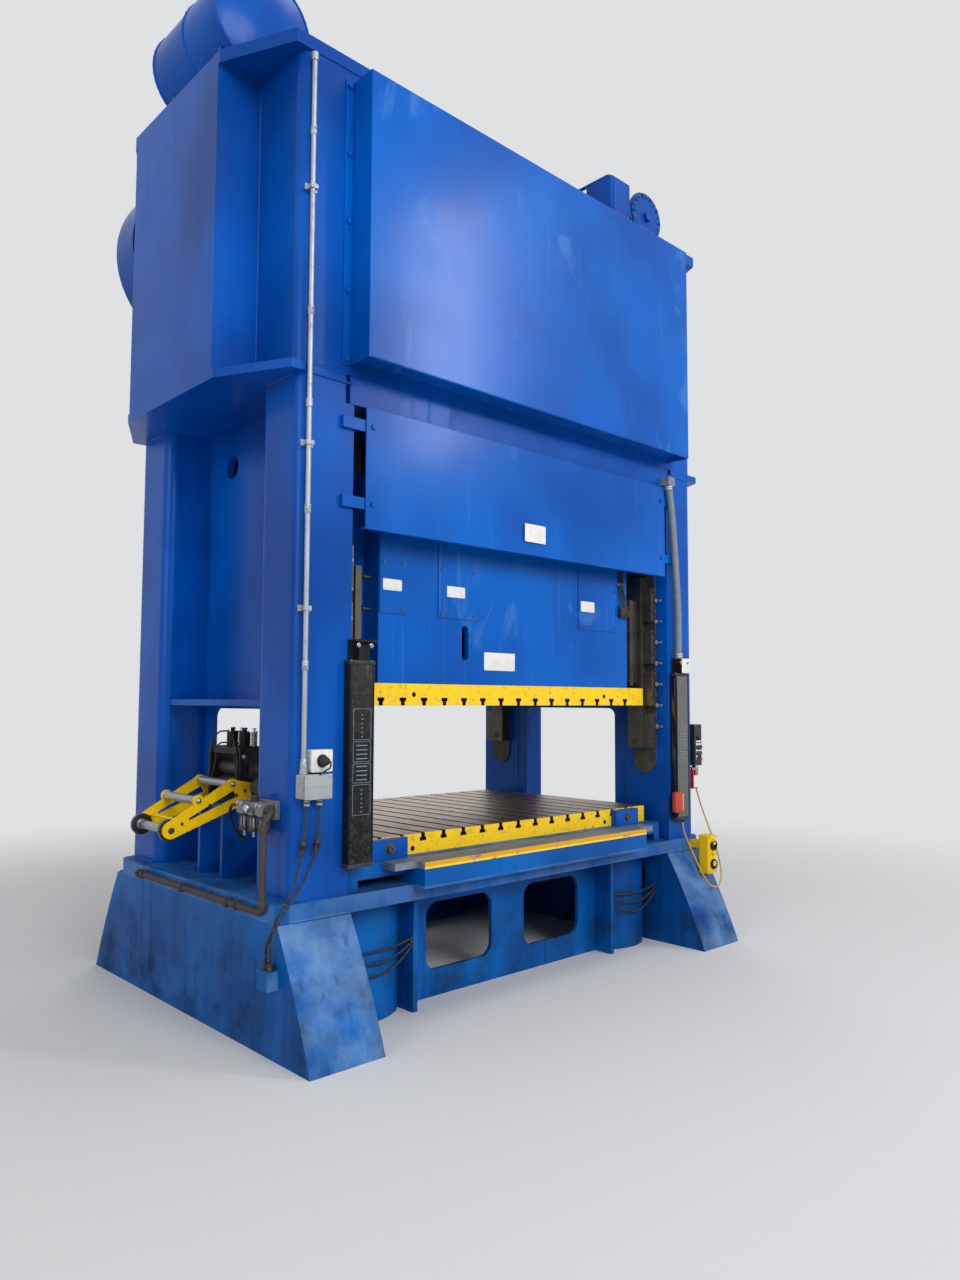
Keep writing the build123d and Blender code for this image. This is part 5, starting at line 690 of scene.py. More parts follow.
# Cords: routes in metres, the same points as in the part's source, and sizes.
cords = {
    "loop": [(1.771, -0.88, 1.197), (1.771, -0.88, 1.12), (1.777, -0.9, 1.02), (1.787, -0.935, 0.9),
             (1.797, -0.985, 0.77), (1.797, -1.035, 0.65), (1.786, -1.08, 0.54), (1.755, -1.115, 0.445),
             (1.7, -1.13, 0.385), (1.635, -1.13, 0.372), (1.575, -1.115, 0.41), (1.535, -1.09, 0.49),
             (1.512, -1.05, 0.59), (1.501, -1.005, 0.69), (1.5, -0.9625, 0.78), (1.5, -0.9625, 0.83)],
    "left": [(-1.641, -0.97, 1.175), (-1.641, -0.97, 1.11), (-1.655, -0.975, 1.03), (-1.672, -0.976, 0.925),
             (-1.7, -0.972, 0.825), (-1.735, -0.968, 0.745), (-1.776, -0.96, 0.685), (-1.796, -0.938, 0.615),
             (-1.804, -0.929, 0.55), (-1.8, -0.925, 0.49), (-1.8, -0.925, 0.44)],
    "right": [(-1.569, -0.97, 1.175), (-1.569, -0.97, 1.115), (-1.575, -0.977, 1.035), (-1.597, -0.978, 0.93),
              (-1.642, -0.976, 0.84), (-1.692, -0.975, 0.765), (-1.744, -0.977, 0.705), (-1.792, -0.975, 0.637),
              (-1.824, -0.937, 0.57), (-1.8, -0.885, 0.495), (-1.8, -0.885, 0.44)],
    "loopThick": 0.011, "boxThick": 0.012, "couplingRadius": 0.015, "couplingHalf": 0.037, "couplingPlace": 0.052,
}


def cordCurve(name, route, thick, finish):
    # one NURBS spline with the route's points as its control points
    data = bpy.data.curves.new(name, "CURVE")
    data.dimensions = "3D"
    data.bevel_depth = thick / 2
    data.bevel_resolution = 4
    data.resolution_u = 10
    data.use_fill_caps = True
    spline = data.splines.new("NURBS")
    spline.points.add(len(route) - 1)
    spline.points.foreach_set("co", np.column_stack([np.array(route), np.ones(len(route))]).ravel())
    spline.order_u = 3
    spline.use_endpoint_u = True
    data.materials.append(finishes[finish])
    return own(link(name, data), "frame")


def coupling(name, route):
    # a round connector on a box cord, two knurled nuts on a barrel, along the run after the third point
    start, end = np.array(route[2:4])
    along = (end - start) / np.linalg.norm(end - start)
    half = cords["couplingHalf"]
    ridge = np.arange(-half * 0.3, half * 0.3, 0.0012)
    share = np.array([(-half, 0.5), (-half * 0.92, 0.9), (-half * 0.34, 0.98)]
                     + [(place, 1.22 - 0.08 * (k % 2)) for k, place in enumerate(ridge)]
                     + [(half * 0.34, 0.98), (half * 0.92, 0.9), (half, 0.5)])
    path = start + along * cords["couplingPlace"] + share[:, :1] * along
    return piece(name, "controlBlack", sweep(path, cords["couplingRadius"] * share[:, 1], 18))


def makeCords():
    # each cord starts at its route's first point; the couplings ride with the two box cords
    loop = cordCurve("tan_loop_cord", cords["loop"], cords["loopThick"], "cordTan")
    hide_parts("loop_cord")
    for side, length in (("left", 0.767), ("right", 0.825)):
        made = cordCurve(side + "_black_cord", cords[side], cords["boxThick"], "cordBlack")
        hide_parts(side + "_box_cord")
        joint = coupling(side + "_cord_coupling", cords[side])


makeCamera()
makeCords()
print("camera and cords made")


# Weld beads: their widths, how far outside its wall a bead's middle lies, and the heights of the crown's plates.
welds = {"width": 0.007, "crownWidth": 0.008, "out": 0.001, "flange": 0.71, "base": 3.362, "roof": 4.988,
         "wing": 0.509, "tankZ": 5.375, "tankRadius": 0.2905, "tankPlaces": (-0.49, -0.12, 0.25), "tankBead": 0.0075,
         "wingX": 1.703, "wingEnds": (1.72, 1.94), "plateEnds": (1.42, 1.63), "plateY": 0.936, "padEnds": (1.36, 1.76),
         "padPlace": (0.93, 0.6245), "flatEnds": (1.38, 1.62), "faceEnds": (0.615, 0.87), "side": 1.9465,
         "sideEnd": 0.505}


def makeWelds():
    # the runs of the right rear corner, mirrored to all four; then the crown's ends and the tank's rings
    out, width, base, roof, wing = (welds[k] for k in ("out", "width", "base", "roof", "wing"))
    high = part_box("right_upright")[1]
    face, flat = high[0] + out, high[1] + out
    runs = [((welds["wingX"], wing, base), (welds["wingX"], wing, roof), welds["crownWidth"])]
    levels = (welds["flange"] + out, high[2] - out)
    for ends, y, z in ((welds["wingEnds"], wing, base), (welds["wingEnds"], wing, roof + out),
                       (welds["plateEnds"], welds["plateY"], base), (welds["padEnds"], *welds["padPlace"]),
                       *((welds["flatEnds"], flat, level) for level in levels)):
        runs.append(((ends[0], y, z), (ends[1], y, z), width))
    runs += [((face, welds["faceEnds"][0], level), (face, welds["faceEnds"][1], level), width) for level in levels]
    forms = [weldBead(np.multiply(start, mirror), np.multiply(end, mirror), size)
             for mirror in grid((-1, 1), (-1, 1), 1) for start, end, size in runs]
    end = welds["sideEnd"]
    forms += [weldBead((x, -end, z), (x, end, z), width) for x in (-welds["side"], welds["side"])
              for z in (base + out, roof)]
    piece("frame_weld_beads", "pressBlue", *forms, sharp=180)
    low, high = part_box("surge_tank")
    angle, radius = np.linspace(0, 2 * np.pi, 97), welds["tankRadius"]
    circle = np.column_stack([(low[0] + high[0]) / 2 + radius * np.cos(angle), 0 * angle,
                              welds["tankZ"] + radius * np.sin(angle)])
    bead = welds["tankBead"] * (1 + 0.15 * np.sin(angle * 140))
    rings = [sweep(circle + (0, y, 0), bead, 6) for y in welds["tankPlaces"]]
    piece("tank_weld_rings", "pressBlue", *rings, sharp=180)


# Bare plates: body, the node whose front carries it, X and Z of its middle, width and height.
plates = {
    "left_slide_plate": ("slide", "slide_covers", -1.0, 2.318, 0.13, 0.062),
    "middle_slide_plate": ("slide", "slide_covers", -0.53, 2.316, 0.14, 0.064),
    "right_slide_plate": ("slide", "slide_covers", 0.66, 2.317, 0.14, 0.07),
    "low_slide_plate": ("slide", "slide_body", -0.165, 1.92, 0.262, 0.108),
    "guard_plate": ("frame", "slide_guard", -0.044, 2.7, 0.184, 0.11),
    "curtain_plate": ("frame", "light_curtains", 1.492, 1.938, 0.1, 0.104),
}
plateFacts = {"thick": 0.0012, "inset": 0.007, "rivet": 0.0035}


def makePlates():
    # a rivet stands in each corner, the inset in from both edges
    thick, inset = plateFacts["thick"], plateFacts["inset"]
    rivet = turned([(1, 0), (0.8, 0.001), (0.3, 0.0016)], 12, plateFacts["rivet"])
    for name, (body, node, x, z, width, height) in plates.items():
        front, across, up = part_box(node)[0][1], width / 2 - inset, height / 2 - inset
        piece(name, "paleLabel", put(slab(width, height, thick, 0.004, 0.0003), x, front, z), body=body)
        piece(name + "_rivets", "groundSteel", put(rivet, [x - across, x + across], front - thick, [z - up, z + up]),
              body=body)


# Slide: cover screws, guide bolts, gib studs, and the lubrication block with its fixed lines.
slideFacts = {"covers": ((-1.085, -0.904), (-0.665, -0.367), (0.567, 0.967)), "inset": 0.022, "screw": (0.008, 0.006),
              "barX": 1.3, "barY": 0.7505, "barBolt": (0.016, 0.012), "stud": (0.008, 0.068, 0.026), "studX": 1.1775,
              "studY": 0.741, "studLevels": (1.83, 2.005, 2.18, 2.355), "blockX": 1.035, "blockZ": 2.3,
              "pitch": 0.017, "lineX": 1.02, "linePitch": 0.011, "line": 0.0036}


def makeSlideDetails():
    # line k leaves the block at blockX + k pitch and runs up at lineX + k linePitch, k from -2 to 2
    facts = slideFacts
    inset, x, z = facts["inset"], facts["blockX"], facts["blockZ"]
    low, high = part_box("slide_covers")
    levels = [low[2] + inset, (low[2] + high[2]) / 2, high[2] - inset]
    screws = [put(socketHead(*facts["screw"]), [left + inset, right - inset], low[1], levels)
              for left, right in facts["covers"]]
    piece("slide_cover_screws", "gibSteel", *screws, body="slide")
    low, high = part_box("slide_bars")
    levels = np.linspace(low[2] + 0.08, high[2] - 0.08, 4)
    bolts = bothFaces(socketHead(*facts["barBolt"]), [-facts["barX"], facts["barX"]], facts["barY"], levels)
    piece("slide_bar_bolts", "gearIron", bolts, body="slide")
    studs = [put(stud(*facts["stud"]), side * facts["studX"], [-facts["studY"], facts["studY"]], facts["studLevels"],
                 way) for side, way in ((-1, "x"), (1, "-x"))]
    piece("slide_gib_studs", "gearIron", *studs, body="slide")
    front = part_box("slide_body")[0][1]
    k = np.arange(-2, 3)
    starts, aways = x + k * facts["pitch"], facts["lineX"] + k * facts["linePitch"]
    port = turned([(0.009, 0), (0.009, 0.012), (0.006, 0.013), (0.006, 0.02)], 6)
    piece("lube_block", "gearIron", put(slab(0.092, 0.062, 0.036, 0.003, 0.002), x, front, z),
          put(port, starts, front - 0.018, z + 0.031, "z"),
          put(socketHead(0.006, 0.005), [x - 0.033, x + 0.033], front - 0.036, [z - 0.015, z + 0.015]), body="slide")
    lines = [sweep(flowing([(start, front - 0.018, 2.345), (start, front - 0.018, 2.39), (away, front - 0.012, 2.46),
                            (away, front - 0.008, 2.6), (away, front - 0.006, 2.92)], 10), facts["line"], 8)
             for start, away in zip(starts, aways)]
    clips = put(slab(0.068, 0.016, 0.011, 0.002, 0.001), facts["lineX"], front, [2.5, 2.7, 2.88])
    piece("lube_lines", "cordBlack", *lines, body="slide", sharp=180)
    piece("lube_line_clips", "groundSteel", clips, body="slide")


# Gibs: studs with lock nuts on the rails' brackets.
gibFacts = {"stud": (0.0075, 0.055, 0.024), "x": 1.345, "sunk": 0.014, "levels": 1.505 + 0.15 * np.arange(7)}


def makeGibDetails():
    # the studs stand level on each rail, sunk in from the brackets' front by the sunk depth
    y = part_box("gib_rails")[1][1] - gibFacts["sunk"]
    studs = bothFaces(stud(*gibFacts["stud"]), [-gibFacts["x"], gibFacts["x"]], y, gibFacts["levels"])
    piece("gib_adjusting_studs", "airMetal", studs)


# Cables clipped in shallow arcs along the bed's front wall.
wallFacts = {"radius": 0.0065, "y": -0.8235, "high": 0.395, "pitch": 0.022, "sag": 0.075, "bow": 0.006,
             "rib": 0.868, "foot": 1.352}


def makeWallCables():
    # height = level - sag (0.45 + 0.5 k) (1 - (2 share - 1)^2), from the rib to the foot's inner face
    share, start, y = np.linspace(0, 1, 33), wallFacts["rib"], wallFacts["y"]
    levels = wallFacts["high"] - wallFacts["pitch"] * np.arange(3)
    nut = turned([(0.013, 0), (0.013, 0.008), (0.01, 0.014)], 10)
    for side, label, way in ((1, "right", "x"), (-1, "left", "-x")):
        runs = [sweep(np.column_stack([side * (start + share * (wallFacts["foot"] - start)),
                                       y - wallFacts["bow"] * k * np.sin(np.pi * share),
                                       level - wallFacts["sag"] * (0.45 + 0.5 * k) * (1 - (2 * share - 1) ** 2)]),
                      wallFacts["radius"]) for k, level in enumerate(levels)]
        piece(label + "_wall_cables", "cordBlack", *runs, sharp=180)
        piece(label + "_wall_cable_glands", "controlBlack", put(nut, side * (start - 0.003), y, levels, way))


# Light curtains: end caps, a front plate with ruled panels, a dark window on the inner side, ribs and screws.
curtainFacts = {"x": (-1.335, 1.47), "front": -0.99, "width": 0.15, "middle": 0.027, "low": 0.85, "high": 1.885,
                "cap": 0.02, "capDepth": 0.0585, "grow": 0.008, "plate": 0.128, "level": 1.3675, "tall": 0.992,
                "window": 0.034, "panel": 0.108, "line": 0.0022, "mark": 0.005, "pitch": 0.022, "thin": 0.0008,
                "panels": ((1.485, 1.64, 0.01), (1.375, 1.475, 0.066), (1.27, 1.365, 0.066), (1.11, 1.26, 0.01))}


def makeCurtains():
    # a panel is low, high and mark width; its mark heights are low + 0.015 + k pitch, k counted while inside it
    facts = curtainFacts
    front, level, panel, high = facts["front"], facts["level"], facts["panel"], facts["high"]
    inside = front + facts["middle"]
    caps, windows, plateForms, marks, ribs, screws = [], [], [], [], [], []

    def rule(width, height, x, z):
        # a thin flat line or mark on the front plate
        marks.append(put(slab(width, height, facts["thin"], 0.0008, 0.0002), x, front - 0.0015, z))

    for x, sense, way in ((facts["x"][0], 1, "x"), (facts["x"][1], -1, "-x")):
        cap = slab(facts["width"] + facts["grow"], facts["capDepth"], facts["cap"], 0.006, 0.002)
        caps.append(put(cap, x, inside, [facts["low"], high - facts["cap"]], "z"))
        windows.append(put(slab(facts["window"], 0.975, 0.0025, 0.004, 0.0008), x + sense * facts["width"] / 2,
                           inside, level, way))
        plateForms.append(put(slab(facts["plate"], facts["tall"], 0.0016, 0.003, 0.0005), x, front, level))
        for bottom, top, wide in facts["panels"]:
            rule(panel, facts["line"], x, [bottom, top])
            rule(facts["line"], top - bottom, [x - panel / 2, x + panel / 2], (bottom + top) / 2)
            rule(wide, facts["mark"], x, np.arange(bottom + 0.015, top - 0.01, facts["pitch"]))
        ribs.append(put(slab(0.007, 0.985, 0.004, 0.002, 0.001), [x - 0.0695, x + 0.0695], front, level))
        screws += [put(socketHead(0.005, 0.003), [x - 0.063, x + 0.063], front + 0.012, high, "z"),
                   put(hexHead(0.017, 0.009), [x - 0.04, x + 0.04], front - 0.018, 1.96)]
    piece("curtain_caps", "controlBlack", *caps)
    piece("curtain_windows", "lens", *windows)
    piece("left_curtain_plate", "blackPaint", plateForms[0])
    # painted reflection: the right plate is the same black plate, painted dark grey for the light it reflects
    piece("right_curtain_plate", "greyPlate", plateForms[1])
    piece("curtain_marks", "greyHose", *marks)
    piece("curtain_ribs", "blackPaint", *ribs)
    piece("curtain_screws", "groundSteel", *screws)


# Conduit fittings: couplings with two set screws, and a connector at each end.
conduitFacts = {"sleeve": 0.0165, "half": 0.024, "x": -1.655, "y": -0.959, "levels": (1.375, 1.85, 2.62, 3.62, 4.55),
                "nuts": (1.327, 1.339), "apart": (-0.013, 0.013),
                "ends": ((1.442, -0.9812, 1.992), (1.337, -0.9812, 3.188))}


def makeConduitFittings():
    # a sleeve at each level, with a screw as far above its middle as below it
    sleeve, half, x, y, levels = (conduitFacts[k] for k in ("sleeve", "half", "x", "y", "levels"))
    shape = turned([(0.88, -half), (1, -half * 0.85), (1, -half * 0.08), (1.06, 0), (1, half * 0.08),
                    (1, half * 0.85), (0.88, half)], 24, sleeve)
    screw = turned([(0.005, 0), (0.005, 0.005), (0.0035, 0.006)], 12)
    nut = turned([(0.021, 0), (0.021, 0.01), (0.019, 0.012)], 8)
    connector = turned([(0.028, 0), (0.031, 0.004), (0.031, 0.012), (0.029, 0.016), (0.031, 0.02), (0.031, 0.03),
                        (0.027, 0.036)], 28)
    piece("conduit_fittings", "galvanised", put(shape, x, y, levels, "z"),
          put(screw, x, y - sleeve + 0.001, [level + step for step in conduitFacts["apart"] for level in levels]),
          put(nut, x, y, conduitFacts["nuts"], "z"), stamp(connector, conduitFacts["ends"]))


# Junction box: lid with a lip, screws, knock-outs and ribbed gland nuts; outlet: plate, receptacle and plug.
boxFacts = {"x": -1.605, "front": -1.013, "z": 1.267, "lid": 0.004, "glandNut": 0.0165, "outletFront": -0.981,
            "face": 0.03, "plug": 0.021, "lead": 0.0042, "lidSize": (0.157, 0.12), "lip": (0.15, 0.004),
            "knocks": (-1.6815, (-0.985, -0.96), (1.245, 1.29)), "screws": (0.066, 0.047), "outletScrew": 0.044,
            "glands": (((-1.641, -1.569), -0.97, 1.212, "-z"), (-1.8, (-0.925, -0.885), 0.421, "z"),
                       (1.771, -0.88, 1.228, "-z")),
            "leadEnd": ((-1.585, -1.045, 1.346), (-1.597, -1.024, 1.33), (-1.6, -1.012, 1.322))}


def makeBoxes():
    # each plate stands on its box's front, and each screw the same way in from all four corners
    x, front, z, lid = (boxFacts[k] for k in ("x", "front", "z", "lid"))
    knock = turned([(0.014, 0), (0.014, 0.0012), (0.0125, 0.0018)], 24)
    piece("junction_lid", "greyBox", put(slab(*boxFacts["lidSize"], lid, 0.005, 0.0012), x, front, z),
          put(slab(*boxFacts["lip"], 0.0012, 0.001, 0.0004), x, front - lid, z), put(knock, *boxFacts["knocks"], "-x"))
    across, up = boxFacts["screws"]
    piece("junction_screws", "groundSteel", put(socketHead(0.005, 0.003), [x - across, x + across], front - lid,
                                                [z - up, z + up]))
    nut = turned([(1, 0), (1, 0.011), (0.9, 0.013), (0.9, 0.017), (0.98, 0.018), (0.98, 0.027), (0.62, 0.032)], 8,
                 boxFacts["glandNut"])
    piece("cord_gland_nuts", "controlBlack", *[put(nut, *row) for row in boxFacts["glands"]])
    low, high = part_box("outlet")
    x, front, z = (low[0] + high[0]) / 2, boxFacts["outletFront"], (low[2] + high[2]) / 2
    piece("outlet_plate", "whitePlastic", put(slab(0.1225, 0.108, 0.003, 0.006, 0.0012), x, front, z))
    socket = turned([(1.06, 0), (1.06, 0.004), (1, 0.006), (0.86, 0.006), (0.84, 0.003)], 32, boxFacts["face"])
    plugForm = turned([(1, 0), (1.08, 0.006), (1.08, 0.014), (1, 0.018), (0.96, 0.036), (0.6, 0.046), (0.32, 0.052),
                       (0.24, 0.066)], 28, boxFacts["plug"])
    lead = flowing([(x, -1.044, z), (x, -1.058, z - 0.006), (x - 0.006, -1.062, z - 0.028), *boxFacts["leadEnd"]])
    piece("outlet_plug", "controlBlack", put(socket, x, front - 0.003, z), put(plugForm, x, front - 0.006, z),
          sweep(lead, boxFacts["lead"]))
    piece("outlet_screws", "groundSteel", put(socketHead(0.0036, 0.002), x, front - 0.003,
                                              [z - boxFacts["outletScrew"], z + boxFacts["outletScrew"]]))


# Air preparation unit: collars, slotted bowl guards, drains, gauge, fittings, and the line to the feed unit.
airFacts = {"x": -1.745, "heads": (-0.752, -0.66, -0.568), "bowl": 0.027, "bars": 10, "low": 1.034, "high": 1.106,
            "port": 1.149, "gauge": 1.15, "tube": 0.0075, "pipeX": -1.795, "pipeY": -0.835, "pipeZ": 0.668,
            "face": 0.031, "boltZ": 1.166, "boltApart": (-0.018, 0.018), "pipeEnd": -0.795,
            "pipeLevels": (1.052, 0.706), "pipePlaces": (-0.6, 0, 0.545), "lineEnd": (-1.54, -0.182, 0.93),
            "line": ((-1.738, -0.42, 1.14), (-1.7, -0.33, 1.085), (-1.64, -0.262, 1.01), (-1.58, -0.232, 0.95),
                     (-1.54, -0.215, 0.93), (-1.54, -0.195, 0.93))}


def makeAirDetails():
    # each bowl's guard is its collar, ring, grips and bars turned about the bowl's own axis
    x, heads, radius, low, high, port = (airFacts[k] for k in ("x", "heads", "bowl", "low", "high", "port"))
    collar = turned([(0.0305, 0), (0.032, 0.002), (0.032, 0.013), (0.03, 0.016)], 30)
    ring = turned([(radius + 0.0012, 0), (radius + 0.0036, 0.001), (radius + 0.0036, 0.011),
                   (radius + 0.0012, 0.012)], 30)
    grip = stamp(slab(0.004, 0.003, 0.012, 0.0008, 0.0004), (0.0318, 0, high - 0.002))
    bar = stamp(slab(0.0022, 0.0075, high - low - 0.004, 0.0009, 0.0004), (radius + 0.0022, 0, low))
    guard = gather(stamp(collar, (0, 0, high - 0.004)), turnAbout(grip, (0, 0, 0), "z", 18),
                   turnAbout(bar, (0, 0, 0), "z", airFacts["bars"]), stamp(ring, (0, 0, low - 0.001)))
    piece("bowl_guards", "controlBlack", put(guard, x, heads, 0, "z"))
    drain = turned([(0.01, 0), (0.01, 0.006), (0.0055, 0.008), (0.0055, 0.016), (0.008, 0.018), (0.008, 0.024),
                    (0.004, 0.026)], 16)
    gaugeCase = turned([(0.019, 0), (0.021, 0.003), (0.021, 0.016), (0.0195, 0.02), (0.018, 0.019),
                        (0.0178, 0.016)], 36)
    inlet = turned([(0.017, 0), (0.017, 0.01), (0.0145, 0.012), (0.0145, 0.03)], 6)
    bolts = [y + step for y in (heads[0], heads[2]) for step in airFacts["boltApart"]]
    side, middle = x - airFacts["face"], (heads[1], airFacts["gauge"])
    piece("air_fittings", "groundSteel", put(drain, x, heads, low - 0.004, "-z"),
          put(gaugeCase, side, *middle, "-x"), put(inlet, x, heads[2] + 0.029, port, "y"),
          put(hexHead(0.016, 0.009), side, bolts, airFacts["boltZ"], "-x"))
    dial = turned([(0.0176, 0), (0.0176, 0.0006)], 36)
    piece("gauge_dial", "paleLabel", put(dial, side - 0.0162, *middle, "-x"))
    tick = stamp(slab(0.0008, 0.0032, 0.0004, 0.0002, 0.0001), (0, 0.0145, 0))
    hand = stamp(slab(0.0011, 0.015, 0.0005, 0.0004, 0.0001), (0, 0.005, 0.0003))
    face = gather(turnAbout(tick, (0, 0, 0), "z", 11, span=297, start=-135), hand)
    piece("gauge_marks", "controlBlack", put(face, side - 0.0168, *middle, "-x"))
    line = flowing([(x, heads[2] + 0.055, port), (x, heads[2] + 0.085, port), *airFacts["line"]], 10)
    piece("air_line_tube", "cordBlack", sweep(line, airFacts["tube"], 14), sharp=180)
    end = turned([(0.013, 0), (0.013, 0.012), (0.01, 0.014), (0.01, 0.024)], 6)
    piece("air_line_ends", "bronze", put(end, *airFacts["lineEnd"]))
    flange = turned([(0.024, 0), (0.024, 0.018), (0.021, 0.021)], 24)
    pipeX, pipeY, pipeZ = airFacts["pipeX"], airFacts["pipeY"], airFacts["pipeZ"]
    piece("pipe_sockets", "rustyPipe", put(flange, x, airFacts["pipeEnd"], port),
          put(flange, pipeX, pipeY, airFacts["pipeLevels"], "z"),
          put(flange, pipeX, airFacts["pipePlaces"], pipeZ, "y"))


# Control unit, lock block, hand box and marker strip.
controlFacts = {"front": -0.945, "cap": 0.0125, "capHeight": 0.014, "apart": 0.021, "rows": [1.262, 1.306, 1.35],
                "plates": [1.284, 1.328, 1.372, 1.392], "tagX": 1.725, "tagFront": -0.9265, "haspY": -0.934,
                "boxFront": -1.11, "boxRings": [0.535, 0.665], "boxScrews": [0.482, 0.6, 0.724],
                "markX": 1.431, "markFront": -1.015, "marks": (0.926, 1.033, 9), "plate": (0.06, 0.012),
                "screws": (1.227, 1.506), "screwIn": 0.009, "boxScrewIn": 0.01, "tag": (0.052, 0.086, 1.1),
                "tagPin": 1.137, "hasp": 1.15,
                "bow": ((-0.011, 1.2), (-0.011, 1.216), (0, 1.226), (0.011, 1.216), (0.011, 1.2))}


def makeControls():
    # the buttons stand apart from the unit's middle by the same width, row by row
    facts = controlFacts
    low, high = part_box("control_unit")
    front, rows, apart, cap, height = (facts[k] for k in ("front", "rows", "apart", "cap", "capHeight"))
    middle = (low[0] + high[0]) / 2
    bezel = turned([(1.35, 0), (1.35, 0.003), (1.2, 0.006), (1.05, 0.006)], 28, cap)
    button = turned([(1, 0.004), (1, height - 0.002), (0.88, height), (0.4, height - 0.001)], 28, cap)
    piece("control_bezels", "groundSteel", put(bezel, [middle - apart, middle + apart], front, rows))
    piece("control_dark_caps", "controlBlack", put(button, middle - apart, front, rows))
    piece("control_red_cap", "lockRed", put(button, middle + apart, front, rows[0]))
    piece("control_green_caps", "buttonGreen", put(button, middle + apart, front, rows[1:]))
    piece("control_plates", "paleLabel", put(slab(*facts["plate"], 0.0008, 0.001, 0.0002), middle, front,
                                             facts["plates"]))
    inset = facts["screwIn"]
    piece("control_screws", "groundSteel", put(socketHead(0.004, 0.003), [low[0] + inset, high[0] - inset], front,
                                               facts["screws"]))
    x, y, tagFront = facts["tagX"], facts["haspY"], facts["tagFront"]
    wide, tall, level = facts["tag"]
    piece("hanging_tag", "paleLabel", put(slab(wide, tall, 0.001, 0.004, 0.0003), x, tagFront, level),
          put(turned([(0.004, 0), (0.004, 0.003)], 12), x, tagFront, facts["tagPin"]))
    piece("lock_hasp", "groundSteel", put(slab(0.034, 0.01, 0.052, 0.004, 0.001), x, y, facts["hasp"], "z"),
          sweep(flowing([(x + across, y, up) for across, up in facts["bow"]]), 0.0036))
    low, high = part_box("hand_box")
    ring = turned([(0.03, 0), (0.034, 0.002), (0.034, 0.016), (0.031, 0.018), (0.026, 0.018), (0.024, 0.01)], 32)
    piece("hand_box_rings", "blackPaint", put(ring, (low[0] + high[0]) / 2, facts["boxFront"], facts["boxRings"]))
    inset = facts["boxScrewIn"]
    piece("hand_box_screws", "groundSteel", put(socketHead(0.005, 0.003), [low[0] + inset, high[0] - inset],
                                                facts["boxFront"], facts["boxScrews"]))
    piece("marker_marks", "paleLabel", put(slab(0.013, 0.005, 0.0008, 0.001, 0.0002), facts["markX"],
                                           facts["markFront"], np.linspace(*facts["marks"])))


# Feeder: bearings, springs, end nuts, painted shade in the arm holes, cylinder fittings and air tubes.
feederFacts = {"x": -1.478, "outside": 0.182, "low": 1.206, "high": 1.298, "springX": -1.445,
               "springs": (-0.118, -0.022, 0.022, 0.118), "wire": 0.0035, "coil": 0.016, "coilLength": 0.085,
               "turns": 9, "tube": 0.0045, "cylinder": 0.07, "armY": 0.196,
               "holes": ((-1.54, 1.185), (-1.59, 1.165), (-1.67, 1.15), (-1.745, 1.12), (-1.9, 1.035),
                         (-1.56, 1.125)),
               "springZ": 1.4195, "rodZ": 1.419, "fittingX": -1.502, "fittings": (1.44, 1.505),
               "boltX": (-1.545, -1.41), "boltZ": (1.16, 1.37),
               "rollers": {"mid": (-1.812, 1.15), "top": (-1.615, 1.225), "low": (-1.96, 1.007)}}


